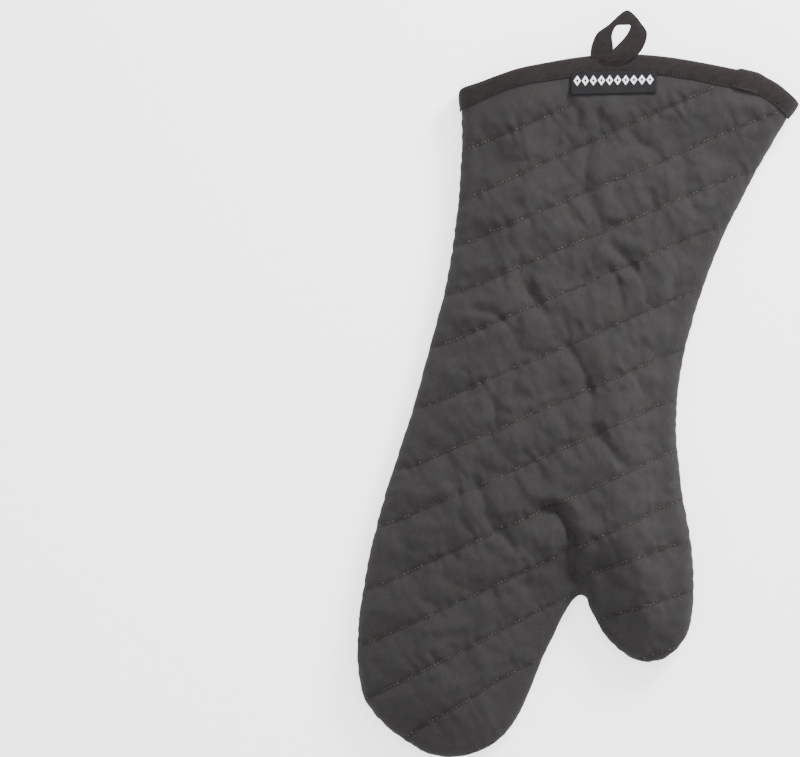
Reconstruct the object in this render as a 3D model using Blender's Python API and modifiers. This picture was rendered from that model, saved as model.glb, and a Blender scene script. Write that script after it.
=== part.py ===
"""Quilted oven mitt lying palm down, modelled with Blender in metres, +Z up.

The mitt's long axis is Y, with the cuff towards +Y and the fingertips towards -Y. The thumb is
towards +X. Each cloth layer is a flat panel that is triangulated in plan, then puffed: its rim turns
down to the side seam and its middle rises to a crown. Hand and thumb are separate bodies, because the
thumb bends along the crease that runs from the crotch to the outer edge.
"""

import math

import bmesh
import bpy
import numpy as np
from mathutils import Matrix, Vector, geometry
from mathutils.bvhtree import BVHTree

MM = 0.001

# Driving dimensions, in metres
SEAM_HEIGHT = 0.0090          # height of the side seam above the table
RIM_RADIUS = 0.0090           # how far in from the seam the puffed edge reaches
SEAM_HALF_GAP = 0.0009        # half of the space between the back's and the palm's edges
CROWN_WIDTH = 0.040           # the crown is full this far in from the seam
CROWN_BASE = 0.0080           # crown height at the cuff and at the fingertips
CROWN_PALM = 0.0100           # extra crown height over the palm
CROWN_CENTRE_Y = -0.040
CROWN_SPREAD = 0.110
CUFF_LIFT = 0.0028            # the binding lifts the palm side off the table by this much
CUFF_LIFT_LENGTH = 0.050

CLOTH = 0.0010                # outer cloth
BATTING = 0.0035              # heat-resistant filling
LINING = 0.0015               # inner cloth
LAYER_GAP = 0.0003
WALL = CLOTH + BATTING + LINING + 2 * LAYER_GAP

BINDING_WIDTH = 0.0098
BINDING_CLOTH = 0.0009
BINDING_GAP = 0.00035
BINDING_INNER_GAP = 0.0005
BINDING_REACH = 0.0006        # the binding's fold passes the cut edge by this much

THREAD_RADIUS = 0.0004
THREAD_GAP = 0.0004
ROW_ANGLE = math.radians(39)
ROW_OFFSETS = (120, 96.5, 73, 50, 23, -4, -28, -55, -81, -108, -134, -160)
CUFF_ROW_OFFSET = 143
THUMB_ROW_ANGLE = math.radians(34)
THUMB_ROW_OFFSETS = (-99, -125, -152)
ROW_INSET = 0.0085            # a row stops this far short of the side seam

LABEL_SIZE = (0.045, 0.012, 0.0007)
LABEL_CENTRE = (-0.0199, 0.1664)
LABEL_ANGLE = math.radians(16)

LOOP_BASE = (-0.0238, 0.1878)
LOOP_ANGLE = math.radians(15.4)
LOOP_THICKNESS = 0.0018
LOOP_DROOP = math.radians(12)
TAIL_SIZE = (0.025, 0.0095, 0.0010)

HINGE_HEIGHT = 0.0130         # height of the thumb's hinge above the table
PLAN_STEP = 0.020             # spacing of the points along the seam
GRID_STEP = 0.027             # spacing of the points inside a panel

# The side seam in plan, in millimetres. The runs meet at the thumb crease's two ends.
FINGER_RUN = (
    (-99, 142), (-90.5, 111), (-84, 78), (-79.5, 38), (-79, 0), (-79, -35), (-81, -80),
    (-80, -123), (-74.5, -162), (-63, -191), (-42, -206), (-15, -212.5), (7, -204),
    (20, -188), (25, -167), (28, -143), (33.5, -114.5),
)
CROTCH = (39.5, -106)
THUMB_RUN = (
    (46, -113.5), (59, -125.5), (77, -132.5), (92, -127.5), (100.2, -113), (99.6, -93),
    (91, -65), (78.6, -38.5),
)
WRIST_RUN = (
    (72.5, -23.5), (65, -3), (59, 28), (58, 62), (60.5, 97), (67, 132), (74.5, 163), (81, 186),
)

# The cuff's cut edge from the left corner to the right one, in millimetres
CUFF = (
    (-99, 142), (-80, 157.5), (-64, 166.8), (-31, 181.5), (3, 190.0), (49, 194.0), (66, 192.8),
    (81, 186),
)


def clear_scene():
    """Starts from an empty file."""
    for item in list(bpy.data.objects):
        bpy.data.objects.remove(item)


def new_collection(name):
    """A collection under the scene's own."""
    made = bpy.data.collections.new(name)
    bpy.context.scene.collection.children.link(made)
    return made


def material(name, colour, roughness):
    """A cloth or thread finish: one Principled BSDF with its colour and roughness."""
    made = bpy.data.materials.new(name)
    made.use_nodes = True
    shader = made.node_tree.nodes["Principled BSDF"]
    shader.inputs["Base Color"].default_value = (*colour, 1)
    shader.inputs["Roughness"].default_value = roughness
    shader.inputs["Metallic"].default_value = 0
    return made


def smooth_line(points, steps):
    """A Catmull-Rom line through the points, with so many steps to each span."""
    p = np.array(points, float)
    p = np.vstack([2 * p[0] - p[1], p, 2 * p[-1] - p[-2]])
    t = np.linspace(0, 1, steps, endpoint=False)[:, None]
    spans = []
    for a, b, c, d in zip(p, p[1:], p[2:], p[3:]):
        bend = (2 * a - 5 * b + 4 * c - d) * t ** 2 + (3 * b - a - 3 * c + d) * t ** 3
        spans.append(0.5 * (2 * b + (c - a) * t + bend))
    return np.vstack(spans + [p[-2][None]])


# The whole seam as a fine line
SPAN_STEPS = 10
SEAM_POINTS = np.array(FINGER_RUN + (CROTCH,) + THUMB_RUN + WRIST_RUN, float) * MM
SEAM = smooth_line(SEAM_POINTS, SPAN_STEPS)


def segments(*lines):
    """The lines' straight pieces, as their start points and their end points."""
    return np.vstack([line[:-1] for line in lines]), np.vstack([line[1:] for line in lines])


def beyond(a, b, reach):
    """The point that lies reach past b on the line from a."""
    return b + (b - a) / np.linalg.norm(b - a) * reach


def seam_run(run):
    """The fine seam line of one run."""
    first = int(np.linalg.norm(SEAM_POINTS - np.array(run[0]) * MM, axis=1).argmin())
    return SEAM[first * SPAN_STEPS:(first + len(run) - 1) * SPAN_STEPS + 1]


def nearest_on(pieces, points):
    """Distance from each point to the nearest of the straight pieces, and the nearest point on it."""
    points = np.atleast_2d(np.array(points, float))[:, None, :]
    a, b = pieces[0][None], pieces[1][None]
    ab = b - a
    t = np.clip(((points - a) * ab).sum(2) / (ab ** 2).sum(2), 0, 1)
    foot = a + ab * t[..., None]
    gap = np.linalg.norm(points - foot, axis=2)
    pick = gap.argmin(1)
    rows = np.arange(len(pick))
    return gap[rows, pick], foot[rows, pick]


# The seams of hand and thumb. The hand's run on 20 mm past the cuff, so that distances near its
# corners are right.
FINGER_SEAM, WRIST_SEAM = seam_run(FINGER_RUN), seam_run(WRIST_RUN)
HAND_SEAM = segments(
    np.vstack([beyond(FINGER_SEAM[1], FINGER_SEAM[0], 0.020), FINGER_SEAM]),
    np.vstack([WRIST_SEAM, beyond(WRIST_SEAM[-2], WRIST_SEAM[-1], 0.020)]),
)
THUMB_SEAM = segments(seam_run(THUMB_RUN))
CUFF_LINE = smooth_line(np.array(CUFF) * MM, SPAN_STEPS)
CUFF_EDGE = segments(CUFF_LINE)


def crown(y):
    """Height of the middle above the rim: highest over the palm."""
    return CROWN_BASE + CROWN_PALM * math.exp(-(((y - CROWN_CENTRE_Y) / CROWN_SPREAD) ** 2))


def cuff_lift(spot):
    """How far the thick binding lifts the cuff off the table."""
    return CUFF_LIFT * smoothstep(1.35 * (1 - nearest_on(CUFF_EDGE, spot)[0][0] / CUFF_LIFT_LENGTH))


def smoothstep(t):
    t = min(max(t, 0.0), 1.0)
    return t * t * (3 - 2 * t)


def puff(plan, back, seam):
    """Lifts points in plan onto the mitt's outer surface, on its back or its palm side.

    Within RIM_RADIUS of the seam, the distance in plan is an angle round the rim's quarter circle.
    """
    gaps, feet = nearest_on(seam, plan)
    out = []
    for (x, y), gap, foot in zip(np.atleast_2d(plan), gaps, feet):
        turn = min(gap / RIM_RADIUS, 1) * math.pi / 2
        rise = SEAM_HALF_GAP + (SEAM_HEIGHT - SEAM_HALF_GAP) * math.sin(turn)
        if 1e-9 < gap < RIM_RADIUS:
            share = RIM_RADIUS * (1 - math.cos(turn)) / gap
            x, y = foot[0] + (x - foot[0]) * share, foot[1] + (y - foot[1]) * share
        z = rise + crown(y) * smoothstep(gap / CROWN_WIDTH) if back else -rise
        out.append((x, y, SEAM_HEIGHT + cuff_lift((x, y)) + z))
    return np.array(out)


def arc_lengths(line):
    """Distance along a line to each of its points."""
    return np.concatenate([[0], np.cumsum(np.linalg.norm(np.diff(line, axis=0), axis=1))])


SEAM_ARC = arc_lengths(SEAM)
CUFF_ARC = arc_lengths(CUFF_LINE)


def seam_at(arc):
    """The seam's point at that distance along it, and its normal in plan towards the inside."""
    places = (arc - 0.002, arc, arc + 0.002)
    ends = [np.array([np.interp(s, SEAM_ARC, SEAM[:, k]) for k in (0, 1)]) for s in places]
    along = (ends[2] - ends[0]) / np.linalg.norm(ends[2] - ends[0])
    return ends[1], np.array((-along[1], along[0]))


def run_arcs(run):
    """Places along one run of the seam, about PLAN_STEP apart and closer where it turns."""
    line = np.array(run, float) * MM
    start = int(np.linalg.norm(SEAM_POINTS - line[0], axis=1).argmin())
    knots = SEAM_ARC[::SPAN_STEPS]
    arcs = [knots[start]]
    for i in range(start, start + len(run) - 1):
        parts = max(1, round((knots[i + 1] - knots[i]) / PLAN_STEP))
        arcs += [knots[i] + (knots[i + 1] - knots[i]) * k / parts for k in range(1, parts + 1)]
    return arcs


RIM_STEPS = (0.0010, 0.0035, 0.0062, 0.0090)
CUFF_ROWS = (0.0, 0.0050, BINDING_WIDTH, 0.0180)


def edge_points(start, end, slant):
    """Points along a panel's cut edge, close together near the seam. slant is how much faster the
    distance from the seam grows than the distance along the edge, at each end."""
    length = np.linalg.norm(end - start)
    near = [step / slant[0] for step in RIM_STEPS]
    far = [length - step / slant[1] for step in reversed(RIM_STEPS)]
    count = max(1, round((far[0] - near[-1]) / PLAN_STEP))
    middle = [near[-1] + (far[0] - near[-1]) * k / count for k in range(1, count)]
    return [start + (end - start) * s / length for s in near + middle + far]


def inside(point, polygon):
    """Whether a point in plan lies in the polygon."""
    x, y = point
    a, b = polygon, np.roll(polygon, -1, 0)
    crosses = (a[:, 1] > y) != (b[:, 1] > y)
    at = a[:, 0] + (y - a[:, 1]) * (b[:, 0] - a[:, 0]) / np.where(crosses, b[:, 1] - a[:, 1], 1)
    return bool((crosses & (x < at)).sum() % 2)


def panel_plan(outline, rims, cut_edge, rows, seam):
    """Triangulates a panel in plan: its outline, rings of points round its rim, rows along its cuff
    edge, and a grid inside. The rings and rows are kept as edges, so that the rim folds cleanly."""
    points, edges = list(outline), []

    def free(q, room):
        return inside(q, outline) and np.linalg.norm(np.array(points) - q, axis=1).min() > room

    for row in rows:
        first = len(points)
        points += row
        edges += [(i, i + 1) for i in range(first, len(points) - 1)]
    for run in rims:
        before = {}
        for arc in run:
            spot, normal = seam_at(arc)
            ring = {}
            for level, step in enumerate(RIM_STEPS):
                q = spot + normal * step
                clear = nearest_on(cut_edge, q)[0][0] > 0.0030
                if free(q, 0.0008) and clear and nearest_on(seam, q)[0][0] > 0.93 * step:
                    ring[level] = len(points)
                    points.append(q)
            edges += [(before[level], ring[level]) for level in ring if level in before]
            before = ring
    rim_count = len(points)
    low, high = outline.min(0), outline.max(0)
    for j in range(int((high[1] - low[1]) / GRID_STEP) + 2):
        for i in range(int((high[0] - low[0]) / GRID_STEP) + 2):
            q = low + np.array(((i + 0.5 * (j % 2)) * GRID_STEP, (j + 0.3) * GRID_STEP))
            room = np.linalg.norm(np.array(points[:rim_count]) - q, axis=1).min()
            if inside(q, outline) and room > 0.4 * GRID_STEP:
                if nearest_on(seam, q)[0][0] > RIM_RADIUS + 0.3 * GRID_STEP:
                    points.append(q)
    ring = list(range(len(outline)))
    made = geometry.delaunay_2d_cdt([Vector(p) for p in points], edges, [ring], 1, 1e-7)
    return np.array([tuple(v) for v in made[0]]), made[2], seam


def add_object(name, points, faces, finish, home):
    """A mesh object from points and faces, smooth shaded, with its one material."""
    mesh = bpy.data.meshes.new(name)
    mesh.from_pydata([tuple(p) for p in points], [], [tuple(f) for f in faces])
    mesh.shade_smooth()
    mesh.materials.append(finish)
    made = bpy.data.objects.new(name, mesh)
    home.objects.link(made)
    return made


def outward(plan, back, seam):
    """The puffed surface's normals, from its slopes along X and Y in plan."""
    step = 0.0001
    base = puff(plan, back, seam)
    shifts = [puff(plan + np.array(way) * step, back, seam) - base for way in ((1, 0), (0, 1))]
    normal = np.cross(*shifts) * (1 if back else -1)
    on_seam = nearest_on(seam, plan)[0] < 1e-6
    for i in np.nonzero(on_seam)[0]:
        nearest = int(np.linalg.norm(SEAM - plan[i], axis=1).argmin())
        normal[i] = (*-seam_at(SEAM_ARC[nearest])[1], 0)
    return normal / np.linalg.norm(normal, axis=1)[:, None]


def layer_object(name, panel, back, inset, thickness, finish, home):
    """One cloth layer: its outer and inner faces follow the puffed surface at inset and at inset +
    thickness below it, and a wall joins them all round."""
    plan, triangles, seam = panel
    base, normal = puff(plan, back, seam), outward(plan, back, seam)
    points = np.vstack([base - normal * inset, base - normal * (inset + thickness)])
    count = len(plan)
    used = {}
    for f in triangles:
        for a, b in zip(f, (*f[1:], f[0])):
            used[frozenset((a, b))] = (a, b) if frozenset((a, b)) not in used else None
    walls = [(b, a, a + count, b + count) for a, b in filter(None, used.values())]
    faces = [tuple(f) for f in triangles] + walls
    faces += [tuple(i + count for i in reversed(f)) for f in triangles]
    if not back:
        faces = [tuple(reversed(f)) for f in faces]
    return add_object(name, points, faces, finish, home)


def make_panels(home, finishes, hand, thumb):
    """Back and palm of the hand and of the thumb, each in three layers."""
    layers = (("shell", 0.0, CLOTH), ("batting", CLOTH + LAYER_GAP, BATTING),
              ("lining", CLOTH + BATTING + 2 * LAYER_GAP, LINING))
    for prefix, panel in (("", hand), ("thumb_", thumb)):
        for side in ("back", "palm"):
            for layer, inset, thickness in layers:
                name = f"{prefix}{side}_{layer}"
                layer_object(name, panel, side == "back", inset, thickness, finishes[layer], home)


def cuff_point(share, back_off):
    """A point in plan on the cuff: share goes from the left corner to the right one, and back_off is
    the distance down the hand from the cut edge, along lines that turn from one side to the other."""
    at = share * (len(CUFF_LINE) - 1)
    i = min(int(at), len(CUFF_LINE) - 2)
    point = CUFF_LINE[i] + (CUFF_LINE[i + 1] - CUFF_LINE[i]) * (at - i)
    left = SEAM[SPAN_STEPS] - SEAM[0]
    right = SEAM[-1 - SPAN_STEPS] - SEAM[-1]
    way = left / np.linalg.norm(left) * (1 - share) + right / np.linalg.norm(right) * share
    return point + way / np.linalg.norm(way) * back_off


def cuff_shares():
    """Where the cuff has its cross sections, closer together near the corners."""
    near = [*RIM_STEPS, 0.0170]
    marks = [0.0, *near, *np.linspace(0.030, CUFF_ARC[-1] - 0.030, 8),
             *[CUFF_ARC[-1] - s for s in reversed(near)], CUFF_ARC[-1]]
    return [float(np.interp(m, CUFF_ARC, np.linspace(0, 1, len(CUFF_ARC)))) for m in marks]


def mouth_ring(back_off, height):
    """Points once round the mouth, that height above the outer cloth: along the back, then back along
    the palm."""
    shares = cuff_shares()
    flat = np.array([cuff_point(share, back_off) for share in shares])
    flat[[0, -1]] = nearest_on(HAND_SEAM, flat[[0, -1]])[1]
    made = []
    for plan, back in ((flat, True), (flat[::-1], False)):
        side = puff(plan, back, HAND_SEAM)
        for end in (0, -1):
            side[end, 2] = SEAM_HEIGHT + cuff_lift(plan[end])
        made.append((side + outward(plan, back, HAND_SEAM) * height)[:-1])
    return np.vstack(made)


def make_binding(home, finish):
    """The bias strip that wraps the raw edge: an outer band, a fold and an inner band, as one ring."""
    outer, inner = BINDING_GAP, -WALL - BINDING_INNER_GAP
    rows = ((BINDING_WIDTH, outer), (0.0050, outer), (0.0, outer), (-BINDING_REACH, -0.0012),
            (-BINDING_REACH, -WALL + 0.0012), (0.0, inner), (0.0050, inner), (BINDING_WIDTH, inner))
    rings = [mouth_ring(*row) for row in rows]
    count = len(rings[0])
    points = [p for ring in rings for p in ring]
    faces = []
    for r in range(len(rings) - 1):
        for i in range(count):
            j = (i + 1) % count
            faces.append((r * count + i, r * count + j, (r + 1) * count + j, (r + 1) * count + i))
    made = add_object("cuff_binding", points, faces, finish, home)
    cloth = made.modifiers.new("cloth", "SOLIDIFY")
    cloth.thickness = BINDING_CLOTH
    cloth.offset = 1


def thread(name, points, finish, home, cyclic=False, radius=THREAD_RADIUS):
    """A sewn thread: a curve with a round bevel and filled ends."""
    curve = bpy.data.curves.new(name, "CURVE")
    curve.dimensions = "3D"
    curve.bevel_depth = radius
    curve.bevel_resolution = 2
    curve.use_fill_caps = True
    spline = curve.splines.new("POLY")
    spline.points.add(len(points) - 1)
    spline.points.foreach_set("co", np.hstack([points, np.ones((len(points), 1))]).ravel())
    spline.use_cyclic_u = cyclic
    curve.materials.append(finish)
    made = bpy.data.objects.new(name, curve)
    home.objects.link(made)
    return made


def over_label(point):
    """Whether a point in plan lies under the label or within 2.5 mm of it."""
    offset = Matrix.Rotation(-LABEL_ANGLE, 2) @ (Vector(point) - Vector(LABEL_CENTRE))
    return abs(offset[0]) < LABEL_SIZE[0] / 2 + 0.0025 and abs(offset[1]) < LABEL_SIZE[1] / 2 + 0.0025


def row_pieces(offset, angle, region, seam, keep_clear):
    """The stretches of one slanted line that lie on a panel, away from its rim and its cut edges."""
    across = np.array((-math.sin(angle), math.cos(angle)))
    along = np.array((math.cos(angle), math.sin(angle)))
    pieces, current = [], []
    for s in np.arange(-0.26, 0.26, 0.002):
        p = across * offset * MM + along * s
        on = inside(p, region) and nearest_on(seam, p)[0][0] > ROW_INSET and not over_label(p)
        on = on and all(nearest_on(line, p)[0][0] > room for line, room in keep_clear)
        if on:
            current.append(p)
        elif current:
            pieces.append(np.array(current))
            current = []
    return [p for p in pieces if len(p) > 4]


def surface_thread(name, plan, finish, home, bvh):
    """A row of quilting laid on the back's outer cloth, with a point about every 20 mm."""
    length = np.linalg.norm(plan[-1] - plan[0])
    count = max(3, round(length / 0.016) + 1)
    picks = plan[0] + (plan[-1] - plan[0]) * np.linspace(0, 1, count)[:, None]
    points = []
    for x, y in picks:
        hit, normal, _, _ = bvh.ray_cast(Vector((x, y, 1)), Vector((0, 0, -1)))
        points.append(hit + normal * (THREAD_GAP + THREAD_RADIUS))
    return thread(name, np.array([tuple(p) for p in points]), finish, home)


def highest_clear(points, bvh):
    """Raises a thread's points until the straight runs between them clear the cloth."""
    lifted = points.copy()
    for i in range(len(points) - 1):
        for t in np.linspace(0, 1, 9):
            p = points[i] * (1 - t) + points[i + 1] * t
            hit = bvh.ray_cast(Vector((p[0], p[1], 1)), Vector((0, 0, -1)))[0]
            need = hit.z + THREAD_GAP + THREAD_RADIUS - p[2]
            if need > 0:
                lifted[i][2] = max(lifted[i][2], points[i][2] + need)
                lifted[i + 1][2] = max(lifted[i + 1][2], points[i + 1][2] + need)
    return lifted


def tree_of(plan, triangles, seam):
    """A ray-casting tree of a back panel's outer surface."""
    return BVHTree.FromPolygons([tuple(p) for p in puff(plan, True, seam)], [tuple(f) for f in triangles])


def make_quilting(home, finish, hand, thumb):
    """The slanted rows on the back of the hand and of the thumb, each row a thread of its own."""
    for prefix, panel, region, edge, offsets, angle in (
        ("quilting_row", *hand, (CUFF_ROW_OFFSET, *ROW_OFFSETS), ROW_ANGLE),
        ("thumb_quilting_row", *thumb, THUMB_ROW_OFFSETS, THUMB_ROW_ANGLE),
    ):
        bvh = tree_of(*panel)
        number = 0
        keep_clear = ((CUFF_EDGE, 0.0140), (edge, 0.0025))
        for offset in offsets:
            for piece in row_pieces(offset, angle, region, panel[2], keep_clear):
                number += 1
                row = surface_thread(f"{prefix}_{number:02d}", piece, finish, home, bvh)
                spline = row.data.splines[0]
                points = np.array([tuple(p.co)[:3] for p in spline.points])
                lifted = highest_clear(points, bvh)
                spline.points.foreach_set("co", np.hstack([lifted, np.ones((len(lifted), 1))]).ravel())


def rounded_plate(name, size, bevel, finish, home):
    """A thin cuboid with its long corners rounded, centred on its own origin."""
    mesh = bpy.data.meshes.new(name)
    box = bmesh.new()
    bmesh.ops.create_cube(box, size=1, matrix=Matrix.Diagonal((*size, 1)))
    corners = [e for e in box.edges if abs(e.verts[0].co.z - e.verts[1].co.z) > size[2] / 2]
    bmesh.ops.bevel(box, geom=corners, offset=bevel, segments=2, affect="EDGES", profile=0.5)
    box.to_mesh(mesh)
    box.free()
    mesh.materials.append(finish)
    made = bpy.data.objects.new(name, mesh)
    home.objects.link(made)
    return made


def flat_back_height(x, y):
    """Height of the back's outer cloth at a point where the crown is full."""
    return puff(np.array([(x, y)]), True, HAND_SEAM)[0][2]


def make_label(home, finish):
    """The woven label. Its empty stands on the stitched top edge, which is its hinge."""
    turn = Matrix.Rotation(LABEL_ANGLE, 3, "Z")
    centre = Vector((*LABEL_CENTRE, 0))
    width, depth, thickness = LABEL_SIZE
    spots = [(sx * width, sy * depth, 0) for sx in (-0.5, 0, 0.5) for sy in (-0.5, 0.5)]
    corners = [centre + turn @ Vector(spot) for spot in spots]
    top = centre + turn @ Vector((0, depth / 2, 0))
    top.z = max(flat_back_height(x, y) for x, y, _ in corners) + 0.0005 + thickness / 2
    hinge = bpy.data.objects.new("label_hinge", None)
    home.objects.link(hinge)
    hinge.location = top
    hinge.rotation_euler = (0, 0, LABEL_ANGLE)
    label = rounded_plate("woven_label", LABEL_SIZE, 0.0004, finish, home)
    label.parent = hinge
    label.location = (0, -LABEL_SIZE[1] / 2, 0)
    return hinge


def binding_top():
    """Height of the binding's outer face above the loop's tails."""
    spot = Vector(LOOP_BASE) - Vector((0, 0.006))
    return flat_back_height(spot.x, spot.y) + BINDING_GAP + BINDING_CLOTH


LOOP_OUTER = ((-13, 1.2), (-11.6, 7.2), (-9.2, 12.1), (-2.8, 16.8), (3.4, 22.8), (6.6, 24.2), (9.6, 22.8),
              (13.6, 16.8), (16.6, 12.0), (16.2, 6.6), (13, 1.2))
LOOP_HOLE = ((0.4, 15.4), (8.2, 15.4), (7.2, 10.0), (4.8, 6.0), (1.0, 5.0), (-1.6, 7.0), (-1.4, 11.2))


def make_loop(home, finish):
    """The hanging loop: a flat folded strip with an eye, whose empty stands on the cuff's edge."""
    hinge = bpy.data.objects.new("loop_hinge", None)
    home.objects.link(hinge)
    hinge.location = (*LOOP_BASE, binding_top() + 0.0008)
    hinge.rotation_euler = (-LOOP_DROOP, 0, LOOP_ANGLE)
    hinge.rotation_mode = "XYZ"
    curve = bpy.data.curves.new("hanging_loop", "CURVE")
    curve.dimensions = "2D"
    curve.fill_mode = "BOTH"
    curve.extrude = LOOP_THICKNESS / 2
    for outline in (LOOP_OUTER, LOOP_HOLE):
        spline = curve.splines.new("POLY")
        spline.points.add(len(outline) - 1)
        flat = [(x * MM, y * MM, 0, 1) for x, y in outline]
        spline.points.foreach_set("co", np.array(flat).ravel())
        spline.use_cyclic_u = True
    curve.materials.append(finish)
    loop = bpy.data.objects.new("hanging_loop", curve)
    home.objects.link(loop)
    loop.parent = hinge
    return hinge


def make_tails(home, cloth, finish):
    """The loop's two tails, laid on the binding, and the close zigzag that tacks them down."""
    turn = Matrix.Rotation(LOOP_ANGLE, 3, "Z")
    centre = Vector((*LOOP_BASE, 0)) + turn @ Vector((0, -0.0022 - TAIL_SIZE[1] / 2, 0))
    centre.z = binding_top() + LAYER_GAP + TAIL_SIZE[2] / 2
    tails = rounded_plate("loop_tails", TAIL_SIZE, 0.0006, cloth, home)
    tails.location = centre
    tails.rotation_euler = (0, 0, LOOP_ANGLE)
    count = 17                # zigzag turns
    span = TAIL_SIZE[0] - 0.004
    height = centre.z + TAIL_SIZE[2] / 2 + THREAD_GAP + THREAD_RADIUS
    zigzag = []
    for k in range(count):
        local = Vector((span * (k / (count - 1) - 0.5), 0.0008 * (-1) ** k - 0.0015, 0))
        spot = centre + turn @ local
        zigzag.append((spot.x, spot.y, height))
    thread("bar_tack", np.array(zigzag), finish, home)


def make_binding_thread(home, finish):
    """The row that holds the binding, all round the mouth near the band's lower edge."""
    height = BINDING_GAP + BINDING_CLOTH + THREAD_GAP + THREAD_RADIUS
    ring = mouth_ring(BINDING_WIDTH - 0.0012, height)
    thread("binding_thread", np.array(ring), finish, home, cyclic=True)


def hand_region():
    """The hand's outline in plan, where it has rim rings, its cut edges and its cuff rows."""
    finger, wrist = run_arcs(FINGER_RUN), run_arcs(WRIST_RUN)
    near_cuff = [s for s in CUFF_ROWS if s > 0]
    finger = near_cuff_arcs(near_cuff, finger[0], 1) + [s for s in finger if s > CUFF_ROWS[-1] + 0.008]
    wrist_end = wrist[-1]
    wrist = [s for s in wrist if s < wrist_end - CUFF_ROWS[-1] - 0.008]
    wrist += near_cuff_arcs(near_cuff, wrist_end, -1)[::-1]
    fold = edge_points(seam_at(finger[-1])[0], seam_at(wrist[0])[0], (1.0, 0.70))
    shares = cuff_shares()
    cuff = [cuff_point(share, 0.0) for share in reversed(shares)]
    outline = np.array([*[seam_at(s)[0] for s in finger], *fold, *[seam_at(s)[0] for s in wrist], *cuff])
    rows = [[cuff_point(share, s) for share in shares[1:-1]] for s in near_cuff]
    rims = [finger[len(near_cuff):], wrist[:-len(near_cuff)]]
    fold_line = np.array([seam_at(finger[-1])[0], *fold, seam_at(wrist[0])[0]])
    return outline, rims, segments(fold_line), rows, HAND_SEAM


def near_cuff_arcs(steps, corner, way):
    """Places on the seam level with the cuff's rows."""
    return [corner + way * s for s in steps]


def thumb_region():
    """The thumb's outline in plan, where it has rim rings, and its cut edge."""
    run = run_arcs(THUMB_RUN)
    first, last = seam_at(run[0])[0], seam_at(run[-1])[0]
    fold = edge_points(last, first, (0.70, 0.80))
    outline = np.array([*[seam_at(s)[0] for s in run], *fold])
    return outline, [run], segments(np.array([last, *fold, first])), [], THUMB_SEAM


def make_thumb_hinge(home):
    """The thumb's empty, midway between the two sides of its crease, with X along the hinge. The thumb's
    pieces hang on it and stay where they are."""
    start, end = [
        (Vector(a) + Vector(b)) * MM / 2
        for a, b in ((FINGER_RUN[-1], THUMB_RUN[0]), (WRIST_RUN[0], THUMB_RUN[-1]))
    ]
    hinge = bpy.data.objects.new("thumb_hinge", None)
    home.objects.link(hinge)
    hinge.location = (*(start + end) / 2, HINGE_HEIGHT)
    hinge.rotation_euler = (0, 0, math.atan2(*(end - start).yx))
    place = Matrix.LocRotScale(hinge.location, hinge.rotation_euler, None)
    for piece in home.objects:
        if piece.name.startswith("thumb_") and piece is not hinge:
            piece.parent = hinge
            piece.matrix_parent_inverse = place.inverted()


def main():
    clear_scene()
    home = new_collection("oven_mitt")
    finishes = {
        "shell": material("charcoal_cotton", (0.072, 0.067, 0.070), 0.92),
        "batting": material("batting", (0.75, 0.73, 0.68), 0.95),
        "lining": material("terry_lining", (0.78, 0.72, 0.62), 0.95),
    }
    dark = material("black_bias", (0.045, 0.038, 0.040), 0.88)
    woven = material("woven_label", (0.060, 0.058, 0.064), 0.80)
    sewing = material("sewing_thread", (0.30, 0.22, 0.17), 0.70)
    hand, thumb = hand_region(), thumb_region()
    hand_plan, thumb_plan = panel_plan(*hand), panel_plan(*thumb)
    make_panels(home, finishes, hand_plan, thumb_plan)
    make_quilting(home, sewing, (hand_plan, hand[0], hand[2]), (thumb_plan, thumb[0], thumb[2]))
    make_binding(home, dark)
    make_binding_thread(home, sewing)
    make_label(home, woven)
    make_loop(home, dark)
    make_tails(home, dark, sewing)
    make_thumb_hinge(home)


main()
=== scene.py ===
# %% [markdown]
# # A quilted oven mitt, lying palm down
#
# The mitt is two padded panels, a back and a palm, sewn together round the edge and bound at the cuff.
# Each panel is three layers, the outer cloth, the batting and a terry lining, held flat against each
# other by slanted rows of stitches. This file dresses the mitt's mechanical model with real cloth
# surfaces. It starts from that fixed model; the binding, its stitches and the bar tack made here are
# attached to its hand body.

# %% Load the mechanical model
import bpy
import numpy as np
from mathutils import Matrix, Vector
from mathutils.bvhtree import BVHTree


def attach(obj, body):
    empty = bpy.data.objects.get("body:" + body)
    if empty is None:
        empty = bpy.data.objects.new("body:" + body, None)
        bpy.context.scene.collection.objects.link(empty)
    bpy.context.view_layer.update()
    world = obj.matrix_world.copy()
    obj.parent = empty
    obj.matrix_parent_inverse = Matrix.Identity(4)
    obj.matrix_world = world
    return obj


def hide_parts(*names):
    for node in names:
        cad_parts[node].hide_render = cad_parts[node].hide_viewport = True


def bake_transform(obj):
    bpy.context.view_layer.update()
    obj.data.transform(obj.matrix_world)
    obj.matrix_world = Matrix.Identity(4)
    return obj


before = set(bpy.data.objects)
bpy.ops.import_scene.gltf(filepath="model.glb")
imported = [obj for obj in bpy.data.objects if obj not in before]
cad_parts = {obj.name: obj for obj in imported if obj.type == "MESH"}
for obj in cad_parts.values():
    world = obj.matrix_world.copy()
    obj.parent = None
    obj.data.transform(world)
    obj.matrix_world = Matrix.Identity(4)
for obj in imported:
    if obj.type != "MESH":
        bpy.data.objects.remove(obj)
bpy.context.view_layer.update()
MM = 0.001

# %% [markdown]
# ## The pattern
#
# Everything follows from the paper pattern that the mitt was cut from: the line of its side seam and
# the line of its cuff. They are drawn with a few points each, and a Catmull-Rom line runs smoothly
# through those. All measures are in metres, so the points are written in millimetres and scaled once.

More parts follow.
